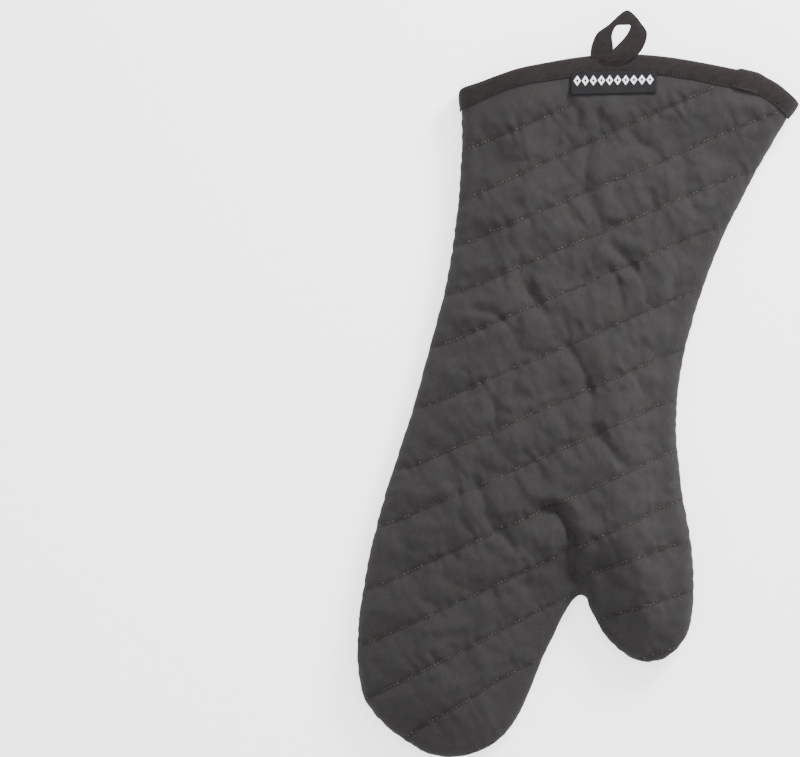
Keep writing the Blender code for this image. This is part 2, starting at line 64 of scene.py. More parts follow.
# %% The pattern's two lines
FINGERS = [(-99, 142), (-90.5, 111), (-84, 78), (-79.5, 38), (-79, 0), (-79, -35), (-81, -80),
           (-80, -123), (-74.5, -162), (-63, -191), (-42, -206), (-15, -212.5), (7, -204),
           (20, -188), (25, -167), (28, -143), (33.5, -114.5)]
CROTCH = [(39.5, -106)]
THUMB = [(46, -113.5), (59, -125.5), (77, -132.5), (92, -127.5), (100.2, -113), (99.6, -93),
         (91, -65), (78.6, -38.5)]
WRIST = [(72.5, -23.5), (65, -3), (59, 28), (58, 62), (60.5, 97), (67, 132), (74.5, 163), (81, 186)]
CUFF = [(-99, 142), (-80, 157.5), (-64, 166.8), (-31, 181.5), (3, 190), (49, 194), (66, 192.8), (81, 186)]


def smooth_line(points, spacing):
    """A Catmull-Rom line: between points b and c it is the cubic that leaves b along c - a and meets c
    along d - b. It is read off at even distances, spacing apart."""
    p = np.array(points, float)
    p = np.vstack([2 * p[0] - p[1], p, 2 * p[-1] - p[-2]])
    t = np.linspace(0, 1, 40, endpoint=False)[:, None, None]
    a, b, c, d = p[:-3], p[1:-2], p[2:-1], p[3:]
    cubic = 0.5 * (2 * b + (c - a) * t + (2 * a - 5 * b + 4 * c - d) * t**2 + (3 * b - a - 3 * c + d) * t**3)
    line = np.vstack([cubic.transpose(1, 0, 2).reshape(-1, p.shape[1]), p[-2]])
    along = np.concatenate([[0], np.cumsum(np.linalg.norm(np.diff(line, axis=0), axis=1))])
    even = np.linspace(0, along[-1], max(2, round(along[-1] / spacing) + 1))
    return np.stack([np.interp(even, along, line[:, k]) for k in range(p.shape[1])], 1)


SEAM = smooth_line(np.array(FINGERS + CROTCH + THUMB + WRIST) * MM, 0.0008)
CUFF_LINE = smooth_line(np.array(CUFF) * MM, 0.0008)
OUTLINE = np.vstack([SEAM, CUFF_LINE[::-1][1:-1]])
print(f"seam {len(SEAM) * 0.8:.0f} mm, cuff {len(CUFF_LINE) * 0.8:.0f} mm")

# %% [markdown]
# ## Distances
#
# Nearly every feature of the mitt is a matter of distance: the edge turns down within 9 mm of the
# seam, a stitch row pulls in the cloth beside it, a crease fades away from its line. So one function
# gives the distance from many points to one line, together with how far along the line the foot lies.

# %% Distance from points to a line


def to_line(points, line):
    """For each point: its distance to the line, the nearest point on the line, and the distance along
    the line to there. The nearest of the line's own points is found first, then the two straight
    pieces beside it are tried, as a foot at t = (p - a).(b - a) / |b - a|^2, held between 0 and 1."""
    along = np.concatenate([[0], np.cumsum(np.linalg.norm(np.diff(line, axis=0), axis=1))])
    near = np.concatenate([
        ((chunk[:, None] - line[None]) ** 2).sum(2).argmin(1)
        for chunk in np.array_split(points, max(1, len(points) * len(line) // 4_000_000))
    ])
    best = np.full(len(points), np.inf)
    foot, reach = np.zeros((len(points), 2)), np.zeros(len(points))
    for side in (-1, 0):
        i = np.clip(near + side, 0, len(line) - 2)
        a, ab = line[i], line[i + 1] - line[i]
        t = np.clip(((points - a) * ab).sum(1) / (ab**2).sum(1), 0, 1)
        spot = a + ab * t[:, None]
        gap = np.linalg.norm(points - spot, axis=1)
        better = gap < best
        best = np.where(better, gap, best)
        foot[better] = spot[better]
        reach[better] = (along[i] + t * np.linalg.norm(ab, axis=1))[better]
    return best, foot, reach


def inside(points, ring):
    """Whether each point lies in the closed ring: a line from it towards +X crosses the ring an odd
    number of times."""
    a, b = ring, np.roll(ring, -1, 0)
    answers = []
    for chunk in np.array_split(points, max(1, len(points) * len(ring) // 4_000_000)):
        x, y = chunk[:, :1], chunk[:, 1:]
        crosses = (a[:, 1] > y) != (b[:, 1] > y)
        at = a[:, 0] + (y - a[:, 1]) * (b[:, 0] - a[:, 0]) / np.where(crosses, b[:, 1] - a[:, 1], 1)
        answers.append((crosses & (x < at)).sum(1) % 2 == 1)
    return np.concatenate(answers)


def smoothstep(t):
    """0 below 0, 1 above 1, and 3t^2 - 2t^3 between."""
    t = np.clip(t, 0, 1)
    return t * t * (3 - 2 * t)


def waves(points, length, seed, octaves=3):
    """Smooth noise of about that wave length, between about -1 and 1: each octave is a sum of five
    plane sine waves in random directions, half as long and half as high as the octave before."""
    rng = np.random.default_rng(seed)
    total = np.zeros(len(points))
    for octave in range(octaves):
        turns = rng.uniform(0, 2 * np.pi, 5)
        phases = rng.uniform(0, 2 * np.pi, 5)
        scale = 2 * np.pi / length * 2**octave * rng.uniform(0.75, 1.3, 5)
        ways = np.stack([np.cos(turns), np.sin(turns)])
        total += np.sin(points[:, :2] @ ways * scale + phases).sum(1) / 2.2 / 2**octave
    return total / 1.6


# %% [markdown]
# ## A grid cut to the pattern
#
# A panel starts as a square grid, turned to lie along the quilting, with its rim pulled onto the
# pattern line. Squares of one size are what the cloth solver and the later detail both want. A fan of
# triangles or a stretched grid would be simpler to cut, but would wrinkle in its own pattern.

# %% Make the grid
QUILT_ANGLE = np.radians(39)
ALONG = np.array((np.cos(QUILT_ANGLE), np.sin(QUILT_ANGLE)))
ACROSS = np.array((-np.sin(QUILT_ANGLE), np.cos(QUILT_ANGLE)))


def cut_grid(step):
    """A grid of squares, step wide, on the pattern. Squares with a corner inside stay. Corners that
    are outside, or within 0.3 step of the line, move to the nearest point of the line. Returns the
    points, the squares, and masks of the points on the seam and on the cuff."""
    n = int(0.27 / step)
    i, j = np.meshgrid(np.arange(-n, n), np.arange(-n, n), indexing="ij")
    points = (i.reshape(-1, 1) * ALONG + j.reshape(-1, 1) * ACROSS) * step
    low, high = OUTLINE.min(0) - 2 * step, OUTLINE.max(0) + 2 * step
    near_box = ((points > low) & (points < high)).all(1)
    within = np.zeros(len(points), bool)
    within[near_box] = inside(points[near_box], OUTLINE)
    ring = np.vstack([OUTLINE, OUTLINE[:1]])
    gap, foot = np.full(len(points), np.inf), points.copy()
    gap[near_box], foot[near_box], _ = to_line(points[near_box], ring)
    free = within & (gap > 0.3 * step)
    number = np.arange(4 * n * n).reshape(2 * n, 2 * n)
    faces = np.stack([number[:-1, :-1], number[1:, :-1], number[1:, 1:], number[:-1, 1:]], -1).reshape(-1, 4)
    faces = faces[free[faces].any(1)]
    used = np.unique(faces)
    new = np.full(len(points), -1)
    new[used] = np.arange(len(used))
    plan = np.where(free[:, None], points, foot)[used]
    on_line = ~free[used]
    on_cuff = on_line & (to_line(plan, CUFF_LINE)[0] < to_line(plan, SEAM)[0] + 1e-7)
    return plan, new[faces], on_line & ~on_cuff, on_cuff


# %% [markdown]
# ## The puffed surface
#
# Laid flat and filled, a panel is a shallow bag. Its rim turns down to the seam in a quarter circle,
# and its middle rises to a crown that is highest over the palm. The thick binding lifts the cuff a
# little off the table. The same formula serves the back and the palm, so they meet on the seam.

# %% Heights
SEAM_HEIGHT = 0.0090
RIM = 0.0090
CROWN_WIDTH = 0.040
CUFF_LIFT = 0.0028
SEAM_PULL = 0.0009
PULL_WIDTH = 0.0018
BOUND = 0.0105  # the strip along the cuff that the binding covers
LONG_SEAM = np.vstack([2 * SEAM[:1] - SEAM[25:26], SEAM, 2 * SEAM[-1:] - SEAM[-26:-25]])


def crown(y):
    """Height of the middle above the rim: a bell over the palm on a low even rise."""
    return 0.0080 + 0.0100 * np.exp(-(((y + 0.040) / 0.110) ** 2))


def puffed(plan, back):
    """Lifts points of the pattern onto the bag. With turn going from 0 on the seam to a quarter turn at
    RIM inside it, a point lies RIM (1 - cos turn) from the seam and SEAM_HEIGHT sin turn above or below
    it. The sewn edge itself is pulled in by SEAM_PULL. The crown is smoothstep of the distance."""
    gap, foot, _ = to_line(plan, LONG_SEAM)
    turn = np.minimum(gap / RIM, 1) * np.pi / 2
    pull = SEAM_PULL * (1 - np.minimum(gap / PULL_WIDTH, 1)) ** 2
    share = np.where(gap < RIM, RIM * (1 - np.cos(turn)) / np.maximum(gap, 1e-9), 1)
    xy = foot + (plan - foot) * share[:, None]
    xy = xy + seam_inward(foot) * pull[:, None]
    rise = 0.0001 + (SEAM_HEIGHT - 0.0001) * np.sin(turn)
    z = rise + crown(plan[:, 1]) * smoothstep(gap / CROWN_WIDTH) if back else -rise
    return np.column_stack([xy, SEAM_HEIGHT + cuff_lift(plan) + z])


def below_binding(plan, over):
    """0 under the binding, rising to 1 over that distance below it, to keep the bound strip smooth."""
    return smoothstep((to_line(plan, CUFF_LINE)[0] - BOUND) / over)


def cuff_lift(plan):
    """How far the cuff is raised: all of CUFF_LIFT at the edge, and nothing 50 mm down the hand."""
    return CUFF_LIFT * smoothstep(1.35 * (1 - to_line(plan, CUFF_LINE)[0] / 0.050))


def seam_inward(spots):
    """The normal in plan, towards the inside, at points on the seam: a quarter turn from the line's
    direction, taken over 4 mm so that it turns gently."""
    _, _, reach = to_line(spots, SEAM)
    along = np.concatenate([[0], np.cumsum(np.linalg.norm(np.diff(SEAM, axis=0), axis=1))])
    ends = [np.stack([np.interp(reach + s, along, SEAM[:, k]) for k in (0, 1)], 1) for s in (-0.002, 0.002)]
    way = ends[1] - ends[0]
    way = way / np.linalg.norm(way, axis=1)[:, None]
    return np.stack([-way[:, 1], way[:, 0]], 1)

# %% [markdown]
# ## Quilting rows and creases
#
# The rows are straight lines of stitches across both panels, an inch apart, the thumb's at its own
# slant. Along each row the cloth is pulled down hard, and it puckers a little at right angles to the
# row. Between the rows the hand that wore the mitt has left lasting creases, mostly along its length,
# and one deep fold runs up from the crotch where the thumb bends. Creases could come from a cloth
# solver alone, but it never puts one where it belongs, so their lines are drawn.

# %% The lines
ROWS = [[(-95, 107.7), (-39, 151.7)], [(-90, 80.4), (50, 196)], [(-86, 55.5), (78, 184.5)],
        [(-82, 29.1), (80, 156)], [(-82, -0.6), (68, 119)], [(-82, -35.6), (64, 80.8)],
        [(-84, -72), (66, 48.5)], [(-85, -104), (66, 18.2)], [(-83, -139.3), (80, -3.2)],
        [(-76, -168), (84, -34)], [(-64, -194.6), (36, -102.8)], [(-38, -209.5), (30, -139)],
        [(-3, -208), (26, -183)]]
THUMB_ROWS = [[(38, -93), (96, -55)], [(47, -118.5), (104, -81.4)], [(78, -129.5), (104, -112)]]
CREASES = [
    # points on the crease, depth and width, all in millimetres
    ([(39, -106), (35, -99), (28.5, -91), (26, -79), (18.5, -69.5), (12, -64), (7, -65), (6, -71)], 5.2, 2.6),
    ([(-43.5, 90), (-43.3, 71.8), (-43.8, 60.2), (-36, 49.5), (-23.9, 40), (-15.4, 29.5)], 1.8, 2.2),
    ([(-14, 27), (-6.9, 24.7), (4.3, 15), (13.1, 1.7), (18, -14), (27.2, -21.5), (37.4, -27.3), (50, -34)],
     2.4, 2.3),
    ([(-24, 140), (-22.6, 123.1), (-18.2, 107.2), (-7.9, 95.8), (-2.7, 87.2)], 2.0, 2.2),
    ([(-5, 90), (3, 83.5), (12.5, 78.6), (23.4, 70.1), (30.3, 60.6), (31, 50)], 2.1, 2.1),
    ([(-66, 30), (-48.4, 30.4), (-38.3, 24.6), (-29.1, 14.3)], 2.0, 1.8),
    ([(-42, -8), (-33.8, -22.6), (-34.9, -34.3), (-34.2, -46)], 1.8, 2.0),
    ([(-37, -55), (-34.4, -61), (-28, -69.5), (-22.1, -80.7), (-10.6, -86.1), (0.3, -94.5)], 2.5, 2.2),
    ([(-54, -55), (-44.9, -67.1), (-38.2, -73.8)], 1.7, 1.8),
    ([(28, 143), (33.4, 127.1), (38.6, 118.5), (48.1, 109.8)], 2.0, 2.2),
    ([(11, 125), (17.5, 114.2), (20.4, 103.6), (19.4, 92)], 1.7, 2.0),
    ([(-8, 152), (0.3, 143.7), (9.7, 140.5), (17, 139)], 1.3, 2.4),
    ([(3, 128), (13.2, 117.3), (17, 110)], 1.3, 2.0),
    ([(-28, 158), (-22.5, 148.8), (-19, 141)], 1.3, 2.2),
    ([(-35, 156), (-32.5, 140.3), (-34, 130)], 1.1, 2.2),
    ([(-34, 7), (-27.4, -9.5), (-27, -18)], 1.4, 2.0),
    ([(34, -96), (41.7, -89.7), (52, -88)], 1.7, 1.8),
    ([(-46.2, -91.6), (-44.2, -111.1), (-37.3, -129.1)], 0.9, 3.0),
    ([(-7, -104), (3.9, -107.8), (16, -110)], 1.2, 2.0),
    ([(-1, -38), (-1.8, -50.9), (4.2, -62.1)], 1.6, 2.0),
    ([(-38.9, 53), (-31.5, 43.6), (-21.2, 35.1)], 1.3, 1.6),
    ([(9, 73), (14.4, 59.1), (20.2, 49)], 1.4, 1.8),
    ([(-24, -73), (-36.2, -60.4), (-38, -52)], 1.2, 1.8),
    ([(22.5, 137), (27.3, 128.3), (28.9, 115)], 1.2, 2.0),
    ([(-62, -95), (-58, -118), (-50, -140)], 0.7, 3.2),
    ([(40.6, -64.9), (53, -58)], 1.0, 2.4),
    ([(-60, 108), (-57, 90), (-60, 72)], 0.9, 2.6),
    ([(45, 140), (52, 122), (50, 104)], 1.0, 2.4),
    ([(-58, 5), (-52, -14), (-57, -34)], 0.9, 2.6),
    ([(35, 92), (44, 76), (42, 56)], 1.1, 2.2),
    ([(30, 30), (38, 14), (48, 4)], 1.1, 2.2),
    ([(-14, -112), (-4, -128), (-2, -146)], 0.8, 2.8),
    # not a crease but a ridge, where a seam allowance shows through beside the right seam
    ([(75, 181), (69.2, 162.6), (63.7, 141.2)], -0.6, 1.6),
]
ROW_LINES = [np.array(row) * MM for row in ROWS + THUMB_ROWS]
CREASE_LINES = [(smooth_line(np.array(points) * MM, 0.0006), depth * MM, width * MM)
                for points, depth, width in CREASES]
print(len(ROW_LINES), "rows,", len(CREASE_LINES), "creases")


def clip_row(row):
    """The part of a row that lies on the pattern: samples of its line that are 2.5 mm or more inside,
    clear of the binding, and for the hand's rows on the hand's side of the crotch."""
    spots = row[0] + (row[1] - row[0]) * np.linspace(0, 1, 400)[:, None]
    clear = (to_line(spots, SEAM)[0] > 0.0025) & (to_line(spots, CUFF_LINE)[0] > BOUND)
    return spots[clear & inside(spots, OUTLINE)][[0, -1]]


ROW_LINES = [clip_row(row) for row in ROW_LINES]


def row_field(plan):
    """For each point, its distance to the nearest row and the distance along that row."""
    best, reach = np.full(len(plan), np.inf), np.zeros(len(plan))
    for number, row in enumerate(ROW_LINES):
        way = row[1] - row[0]
        length = np.linalg.norm(way)
        s = (plan - row[0]) @ way / length
        off = np.abs((plan - row[0]) @ np.array((-way[1], way[0])) / length)
        past = np.maximum(np.maximum(-s, s - length), 0)
        gap = np.hypot(off, past)
        reach = np.where(gap < best, s + 0.4 * number, reach)
        best = np.minimum(best, gap)
    return best, reach


def quilted(plan):
    """How far the stitching moves the cloth, outwards positive: each row is a valley, exp(-(d/w)^2)
    with a wide and a narrow w, and puckers ripple along it, a sine of the distance along the row that
    dies away beside it."""
    gap, reach = row_field(plan)
    valley = 0.0009 * np.exp(-((gap / 0.0060) ** 2)) + 0.0006 * np.exp(-((gap / 0.0016) ** 2))
    phase = 2 * np.pi * reach / 0.0085 + 2.6 * waves(plan, 0.026, 3)
    strength = 0.6 + 0.5 * waves(plan, 0.040, 5, 1)
    ripple = 0.00075 * strength * np.sin(phase) * np.exp(-gap / 0.0070) * smoothstep(gap / 0.0012 + 0.25)
    return ripple - valley


def creased(plan):
    """How far the creases move the cloth: a sharp valley, exp(-(d/w)^1.3), between two soft shoulders,
    both fading out over the crease's last centimetre. One flank is steeper, as where cloth folds over."""
    total = np.zeros(len(plan))
    for number, (line, depth, width) in enumerate(CREASE_LINES):
        low, high = line.min(0) - 0.014, line.max(0) + 0.014
        near = ((plan > low) & (plan < high)).all(1)
        if not near.any():
            continue
        gap, foot, reach = to_line(plan[near], line)
        length = len(line) * 0.0006
        start = 1.0 if number == 0 else smoothstep(reach / 0.012 + 0.1)
        fade = start * smoothstep((length - reach) / 0.014 + 0.1)
        ahead = line[np.clip((reach / 0.0006).astype(int) + 2, 0, len(line) - 1)] - foot
        side = np.sign(ahead[:, 0] * (plan[near] - foot)[:, 1] - ahead[:, 1] * (plan[near] - foot)[:, 0])
        wide = width * np.where(side > 0, 1.7, 1.0)
        wobble = 1 + 0.25 * waves(foot, 0.018, 40 + number, 2)
        valley = np.exp(-((gap / wide) ** 1.3))
        shoulder = 0.34 * np.exp(-(((gap - 3.0 * wide) / (1.7 * wide)) ** 2))
        total[near] += depth * fade * wobble * (shoulder - valley)
    return total


def crumpled(plan):
    """Small crumples that run across the rows: noise stretched across them, folded at its middle by an
    absolute value so that its valleys are sharp. They are deepest over the palm and the wrist."""
    spots = np.column_stack([plan @ ALONG, plan @ ACROSS * 0.42])
    fine = np.abs(waves(spots, 0.0105, 61, 2))
    broad = np.abs(waves(spots, 0.021, 62, 2))
    heart = np.exp(-(((plan[:, 1] - 0.010) / 0.120) ** 2))
    heart = heart * smoothstep((to_line(plan, SEAM)[0] - 0.006) / 0.03)
    beside = smoothstep(row_field(plan)[0] / 0.004 + 0.2)
    return (0.0006 * (fine - 0.4) + 0.0009 * (broad - 0.4)) * (0.22 + 0.78 * heart) * beside


# %% [markdown]
# ## From a grid to a mesh
#
# Each panel becomes a mesh that also remembers where every point lies on the flat pattern, as an
# attribute. Subdivision carries attributes along, so the fine detail can be worked out afterwards on
# the pattern, and then be moved out along the real surface's normals.

# %% Meshes
def new_mesh(name, points, faces):
    """A smooth-shaded mesh object, made from an array of points and a list or array of faces."""
    mesh = bpy.data.meshes.new(name)
    mesh.from_pydata(points.tolist(), [], [list(face) for face in faces])
    mesh.shade_smooth()
    made = bpy.data.objects.new(name, mesh)
    bpy.context.scene.collection.objects.link(made)
    return made


def coordinates(mesh):
    """The mesh's points as an array."""
    flat = np.zeros(len(mesh.vertices) * 3, np.float32)
    mesh.vertices.foreach_get("co", flat)
    return flat.reshape(-1, 3).astype(float)


def normals(mesh):
    """The mesh's point normals as an array."""
    flat = np.zeros(len(mesh.vertices) * 3, np.float32)
    mesh.vertex_normals.foreach_get("vector", flat)
    return flat.reshape(-1, 3).astype(float)


def move_points(obj, points):
    obj.data.vertices.foreach_set("co", points.astype(np.float32).ravel())
    obj.data.update()


def remember_plan(obj, plan):
    """Stores the flat pattern's coordinates on the mesh."""
    flat = np.column_stack([plan, np.zeros(len(plan))])
    spot = obj.data.attributes.new("plan", "FLOAT_VECTOR", "POINT")
    spot.data.foreach_set("vector", flat.astype(np.float32).ravel())


def remember_stitching(obj, plan):
    """Stores how near each point is to a row of stitches, 1 on it and 0 a few millimetres off. The cloth
    is painted darker by it: partly its needle holes, partly painted shade in the dip of each row.
    """
    near = np.exp(-((row_field(plan)[0] / 0.0009) ** 2))
    spot = obj.data.attributes.new("stitch_holes_and_shade", "FLOAT", "POINT")
    spot.data.foreach_set("value", near.astype(np.float32))


def recall_plan(obj):
    """The flat pattern's coordinates of each point of the mesh."""
    flat = np.zeros(len(obj.data.vertices) * 3, np.float32)
    obj.data.attributes["plan"].data.foreach_get("vector", flat)
    return flat.reshape(-1, 3)[:, :2].astype(float)


def tree_of(obj):
    """The mesh in the form that can be searched for nearest points and hit by rays."""
    return BVHTree.FromPolygons(coordinates(obj.data).tolist(), [list(p.vertices) for p in obj.data.polygons])


def settle(obj):
    """Replaces the object's mesh by the one its modifiers make, and clears the modifiers."""
    graph = bpy.context.evaluated_depsgraph_get()
    made = bpy.data.meshes.new_from_object(obj.evaluated_get(graph))
    obj.modifiers.clear()
    obj.data = made
    made.name = obj.name
    return obj


def subdivide(obj, levels=1):
    """Smooths and splits every square, for real."""
    modifier = obj.modifiers.new("subdivide", "SUBSURF")
    modifier.levels = modifier.render_levels = levels
    return settle(obj)


def thicken(obj, thickness):
    """Gives a surface a thickness on its inner side."""
    modifier = obj.modifiers.new("thickness", "SOLIDIFY")
    modifier.thickness = thickness
    modifier.offset = -1
    return settle(obj)


# %% [markdown]
# ## The back panel
#
# The visible face of the mitt. The cloth is fixed at the seam, at the cuff and along every row, and
# the filling pushes it out between them. That is a job for the cloth solver, with pressure in place of
# the filling and a little too much cloth, so that it buckles the way quilting does. How far a point may
# move is capped, because the solver's first steps can overshoot.

# %% Puff the back panel
BACK_STEP = 0.0024
SWELL_CAP = 0.0032


def swell(obj, pinned, pressure, slack, frames):
    """Runs the cloth solver with the pinned points held, and returns how far each point moved."""
    rest = coordinates(obj.data)
    group = obj.vertex_groups.new(name="pinned")
    group.add(np.nonzero(pinned)[0].tolist(), 1.0, "REPLACE")
    cloth = obj.modifiers.new("swell", "CLOTH")
    settings = cloth.settings
    settings.vertex_group_mass = "pinned"
    settings.quality = 4
    settings.mass = 0.25
    settings.tension_stiffness = settings.compression_stiffness = 12
    settings.shear_stiffness = 6
    settings.bending_stiffness = 0.6
    settings.shrink_min = -slack
    settings.use_pressure = True
    settings.uniform_pressure_force = pressure
    settings.effector_weights.gravity = 0
    cloth.collision_settings.use_collision = False
    cloth.point_cache.frame_start, cloth.point_cache.frame_end = 1, frames
    scene = bpy.context.scene
    for number in range(1, frames + 1):
        scene.frame_set(number)
    graph = bpy.context.evaluated_depsgraph_get()
    moved = coordinates(obj.evaluated_get(graph).data) - rest
    obj.modifiers.clear()
    obj.vertex_groups.clear()
    scene.frame_set(1)
    return moved


plan, squares, on_seam, on_cuff = cut_grid(BACK_STEP)
row_gap = row_field(plan)[0]
cuff_gap = to_line(plan, CUFF_LINE)[0]
start = puffed(plan, back=True)
back = new_mesh("back_cloth", start, squares)
remember_plan(back, plan)
held = on_seam | (cuff_gap < 0.013) | ((row_gap < 0.55 * BACK_STEP) & (to_line(plan, SEAM)[0] > 0.009))
moved = swell(back, held, 3.0, 0.02, 18)
far = np.linalg.norm(moved, axis=1)
capped = moved * np.minimum(1, SWELL_CAP / np.maximum(far, 1e-9))[:, None]
move_points(back, start + capped)
print(f"solver moved the cloth by {far.mean() * 1000:.2f} mm on average, {far.max() * 1000:.1f} at most")
subdivide(back)
plan = recall_plan(back)
seam_gap = to_line(plan, SEAM)[0]
calm = below_binding(plan, 0.007)
rim = smoothstep((seam_gap - 0.0005) / 0.009)
fold_rim = smoothstep((seam_gap - 0.001) / 0.014)
detail = quilted(plan) * calm * (0.10 + 0.90 * rim) + creased(plan) * calm * (0.12 + 0.88 * fold_rim)
detail += crumpled(plan) * calm * fold_rim
detail += 0.0009 * waves(plan, 0.055, 7) * calm * smoothstep(seam_gap / 0.02)
detail += 0.00016 * waves(plan, 0.007, 8, 2) * calm
move_points(back, coordinates(back.data) + normals(back.data) * detail[:, None])
remember_stitching(back, plan)
print("back cloth:", len(back.data.polygons), "squares")
BACK_TREE = tree_of(back)

# %% [markdown]
# ## The palm panel
#
# The same pattern seen from below. The mitt's weight presses it flat on the table, so nothing may
# stand out of it: the rows and their puckers only draw it in.

# %% The palm panel
PALM_STEP = 0.0030


def surface_normals(plan, back):
    """The bag's outward normals: the cross product of its slopes along X and Y in plan. On the seam
    itself the bag stands upright, so there the normal points straight out of the pattern."""
    step = 0.0001
    base = puffed(plan, back)
    slopes = [puffed(plan + np.array(way) * step, back) - base for way in ((1, 0), (0, 1))]
    normal = np.cross(*slopes) * (1 if back else -1)
    edge = to_line(plan, LONG_SEAM)[0] < 0.0002
    normal[edge] = np.column_stack([-seam_inward(plan[edge]), np.zeros(edge.sum())])
    return normal / np.linalg.norm(normal, axis=1)[:, None]


palm_plan, palm_squares, _, _ = cut_grid(PALM_STEP)
palm = new_mesh("palm_cloth", puffed(palm_plan, back=False), palm_squares[:, ::-1])
remember_plan(palm, palm_plan)
subdivide(palm)
palm_plan = recall_plan(palm)
calm = below_binding(palm_plan, 0.007)
drawn_in = np.minimum(quilted(palm_plan) * calm + 0.00016 * waves(palm_plan, 0.007, 9, 2) - 0.0002, 0)
move_points(palm, coordinates(palm.data) + normals(palm.data) * drawn_in[:, None])
low = coordinates(palm.data)
low[:, 2] = np.maximum(low[:, 2], 0)
move_points(palm, low)
PALM_TREE = tree_of(palm)
remember_stitching(palm, palm_plan)
print("palm cloth:", len(palm.data.polygons), "squares")

# %% [markdown]
# ## Batting and lining
#
# Under the cloth lie a needled filling and, towards the hand, cotton terry. The creases of the outer
# cloth dent them too, so each starts from the lowest point of the cloth nearby, less a small gap. Only
# the terry shows, a hand's breadth down the open cuff, so it alone gets a nap.

# %% The inner layers
CLOTH = 0.0008
BATTING = 0.0035
LINING = 0.0014
LAYER_GAP = 0.0003
CELL = 0.003
INNER_STEP = 0.0036


def lowest_near(plan, cloth):
    """The lowest height of a cloth's points within about 5 mm of each plan point: the heights are
    sorted into square cells, each keeps its minimum, and each cell takes its neighbours' minimum."""
    origin = OUTLINE.min(0) - 4 * CELL
    shape = np.ceil((OUTLINE.max(0) - origin) / CELL).astype(int) + 5
    cells = np.full(shape, 1.0)
    at = ((cloth[:, :2] - origin) / CELL).astype(int)
    np.minimum.at(cells, (at[:, 0], at[:, 1]), cloth[:, 2])
    around = [np.roll(cells, shift, (0, 1)) for shift in ((i, j) for i in (-1, 0, 1) for j in (-1, 0, 1))]
    lowest = np.min(around, axis=0)
    mine = ((plan - origin) / CELL).astype(int)
    return lowest[mine[:, 0], mine[:, 1]]


def inner_layers(side, cloth):
    """The batting and the lining of one panel, as two meshes that follow the cloth at a distance."""
    on_back = side == "back"
    plan, squares, _, _ = cut_grid(INNER_STEP)
    start = puffed(plan, on_back)
    out = surface_normals(plan, on_back)
    gap = to_line(plan, SEAM)[0]
    calm = below_binding(plan, 0.012)
    valley = 0.0019 * np.exp(-((row_field(plan)[0] / 0.008) ** 2)) + np.maximum(-creased(plan), 0) + 0.0004
    drawn_in = np.minimum(valley, 0.0045) * calm * (1 - smoothstep((gap - 0.008) / 0.006))
    surface = start - out * (CLOTH + LAYER_GAP + 0.0002 + drawn_in)[:, None]
    if on_back:
        room = start[:, 2] - lowest_near(plan, cloth)
        surface[:, 2] -= np.clip(room, 0, 0.009) * smoothstep((gap - 0.006) / 0.005) * calm
    else:
        surface += np.array((0, 0, 0.0017)) * calm[:, None] * smoothstep((gap - 0.006) / 0.006)[:, None]
    faces = squares if on_back else squares[:, ::-1]
    batting = new_mesh(f"{side}_batting_pad", surface, faces)
    surface = surface - normals(batting.data) * (BATTING + LAYER_GAP)
    lining = new_mesh(f"{side}_terry_lining", surface, faces)
    thicken(batting, BATTING)
    remember_plan(lining, plan)
    subdivide(lining)
    nap = 0.00022 * waves(recall_plan(lining), 0.0035, 21, 2)
    move_points(lining, coordinates(lining.data) + normals(lining.data) * nap[:, None])
    thicken(lining, LINING)
    return batting, lining


back_batting, back_lining = inner_layers("back", coordinates(back.data))
palm_batting, palm_lining = inner_layers("palm", coordinates(palm.data))
thicken(back, CLOTH)
thicken(palm, CLOTH)
print("inner layers:", [len(o.data.polygons) for o in (back_batting, back_lining, palm_batting, palm_lining)])

# %% [markdown]
# ## The cuff binding
#
# A bias-cut strip, folded over the raw edge of both panels and sewn through close to its lower edge.
# Its cross section is drawn once, as distances down the hand and heights above the cloth, and carried
# round the mouth. It bulges a little above the stitching, and its end laps over its start.

# %% Carry the binding's section round the mouth
BAND = 0.0092
FOLD = 0.0013
SECTION = [(BAND, 0.20), (BAND + 0.0003, 0.50), (BAND - 0.0002, 0.80), (BAND - 0.0010, 0.72),
           (BAND - 0.0016, 0.68), (BAND - 0.0026, 0.95), (0.0052, 1.20), (0.0025, 1.25), (0.0004, 1.25),
           (-FOLD * 0.75, 0.60), (-FOLD, -0.6), (-FOLD, -4.0), (-FOLD, -6.6), (-FOLD * 0.75, -7.7),
           (0.0004, -8.35), (0.0030, -8.40), (BAND - 0.0018, -8.05), (BAND - 0.0002, -8.0),
           (BAND + 0.0002, -7.5), (BAND - 0.0004, -7.15), (0.0040, -7.15), (0.0004, -7.0),
           (-0.0003, -6.4), (-0.0003, -0.2), (0.0006, 0.12), (0.0050, 0.12)]
LAP = (0.800, 0.858)
LABEL_SPAN = (0.27, 0.56)


def cuff_point(share, down):
    """A plan point that lies down the hand from the cuff's edge. share goes from the left corner, 0, to
    the right one, 1. The way down turns from the left seam's direction to the right seam's."""
    at = np.clip(share, 0, 1) * (len(CUFF_LINE) - 1)
    edge = np.stack([np.interp(at, np.arange(len(CUFF_LINE)), CUFF_LINE[:, k]) for k in (0, 1)], 1)
    left, right = SEAM[14] - SEAM[0], SEAM[-15] - SEAM[-1]
    left, right = left / np.linalg.norm(left), right / np.linalg.norm(right)
    way = left * (1 - share[:, None]) + right * share[:, None]
    return edge + way / np.linalg.norm(way, axis=1)[:, None] * np.asarray(down).reshape(-1, 1)


def on_panel(plan, back, height):
    """Points that height above the bag's surface."""
    return puffed(plan, back) + surface_normals(plan, back) * np.asarray(height).reshape(-1, 1)


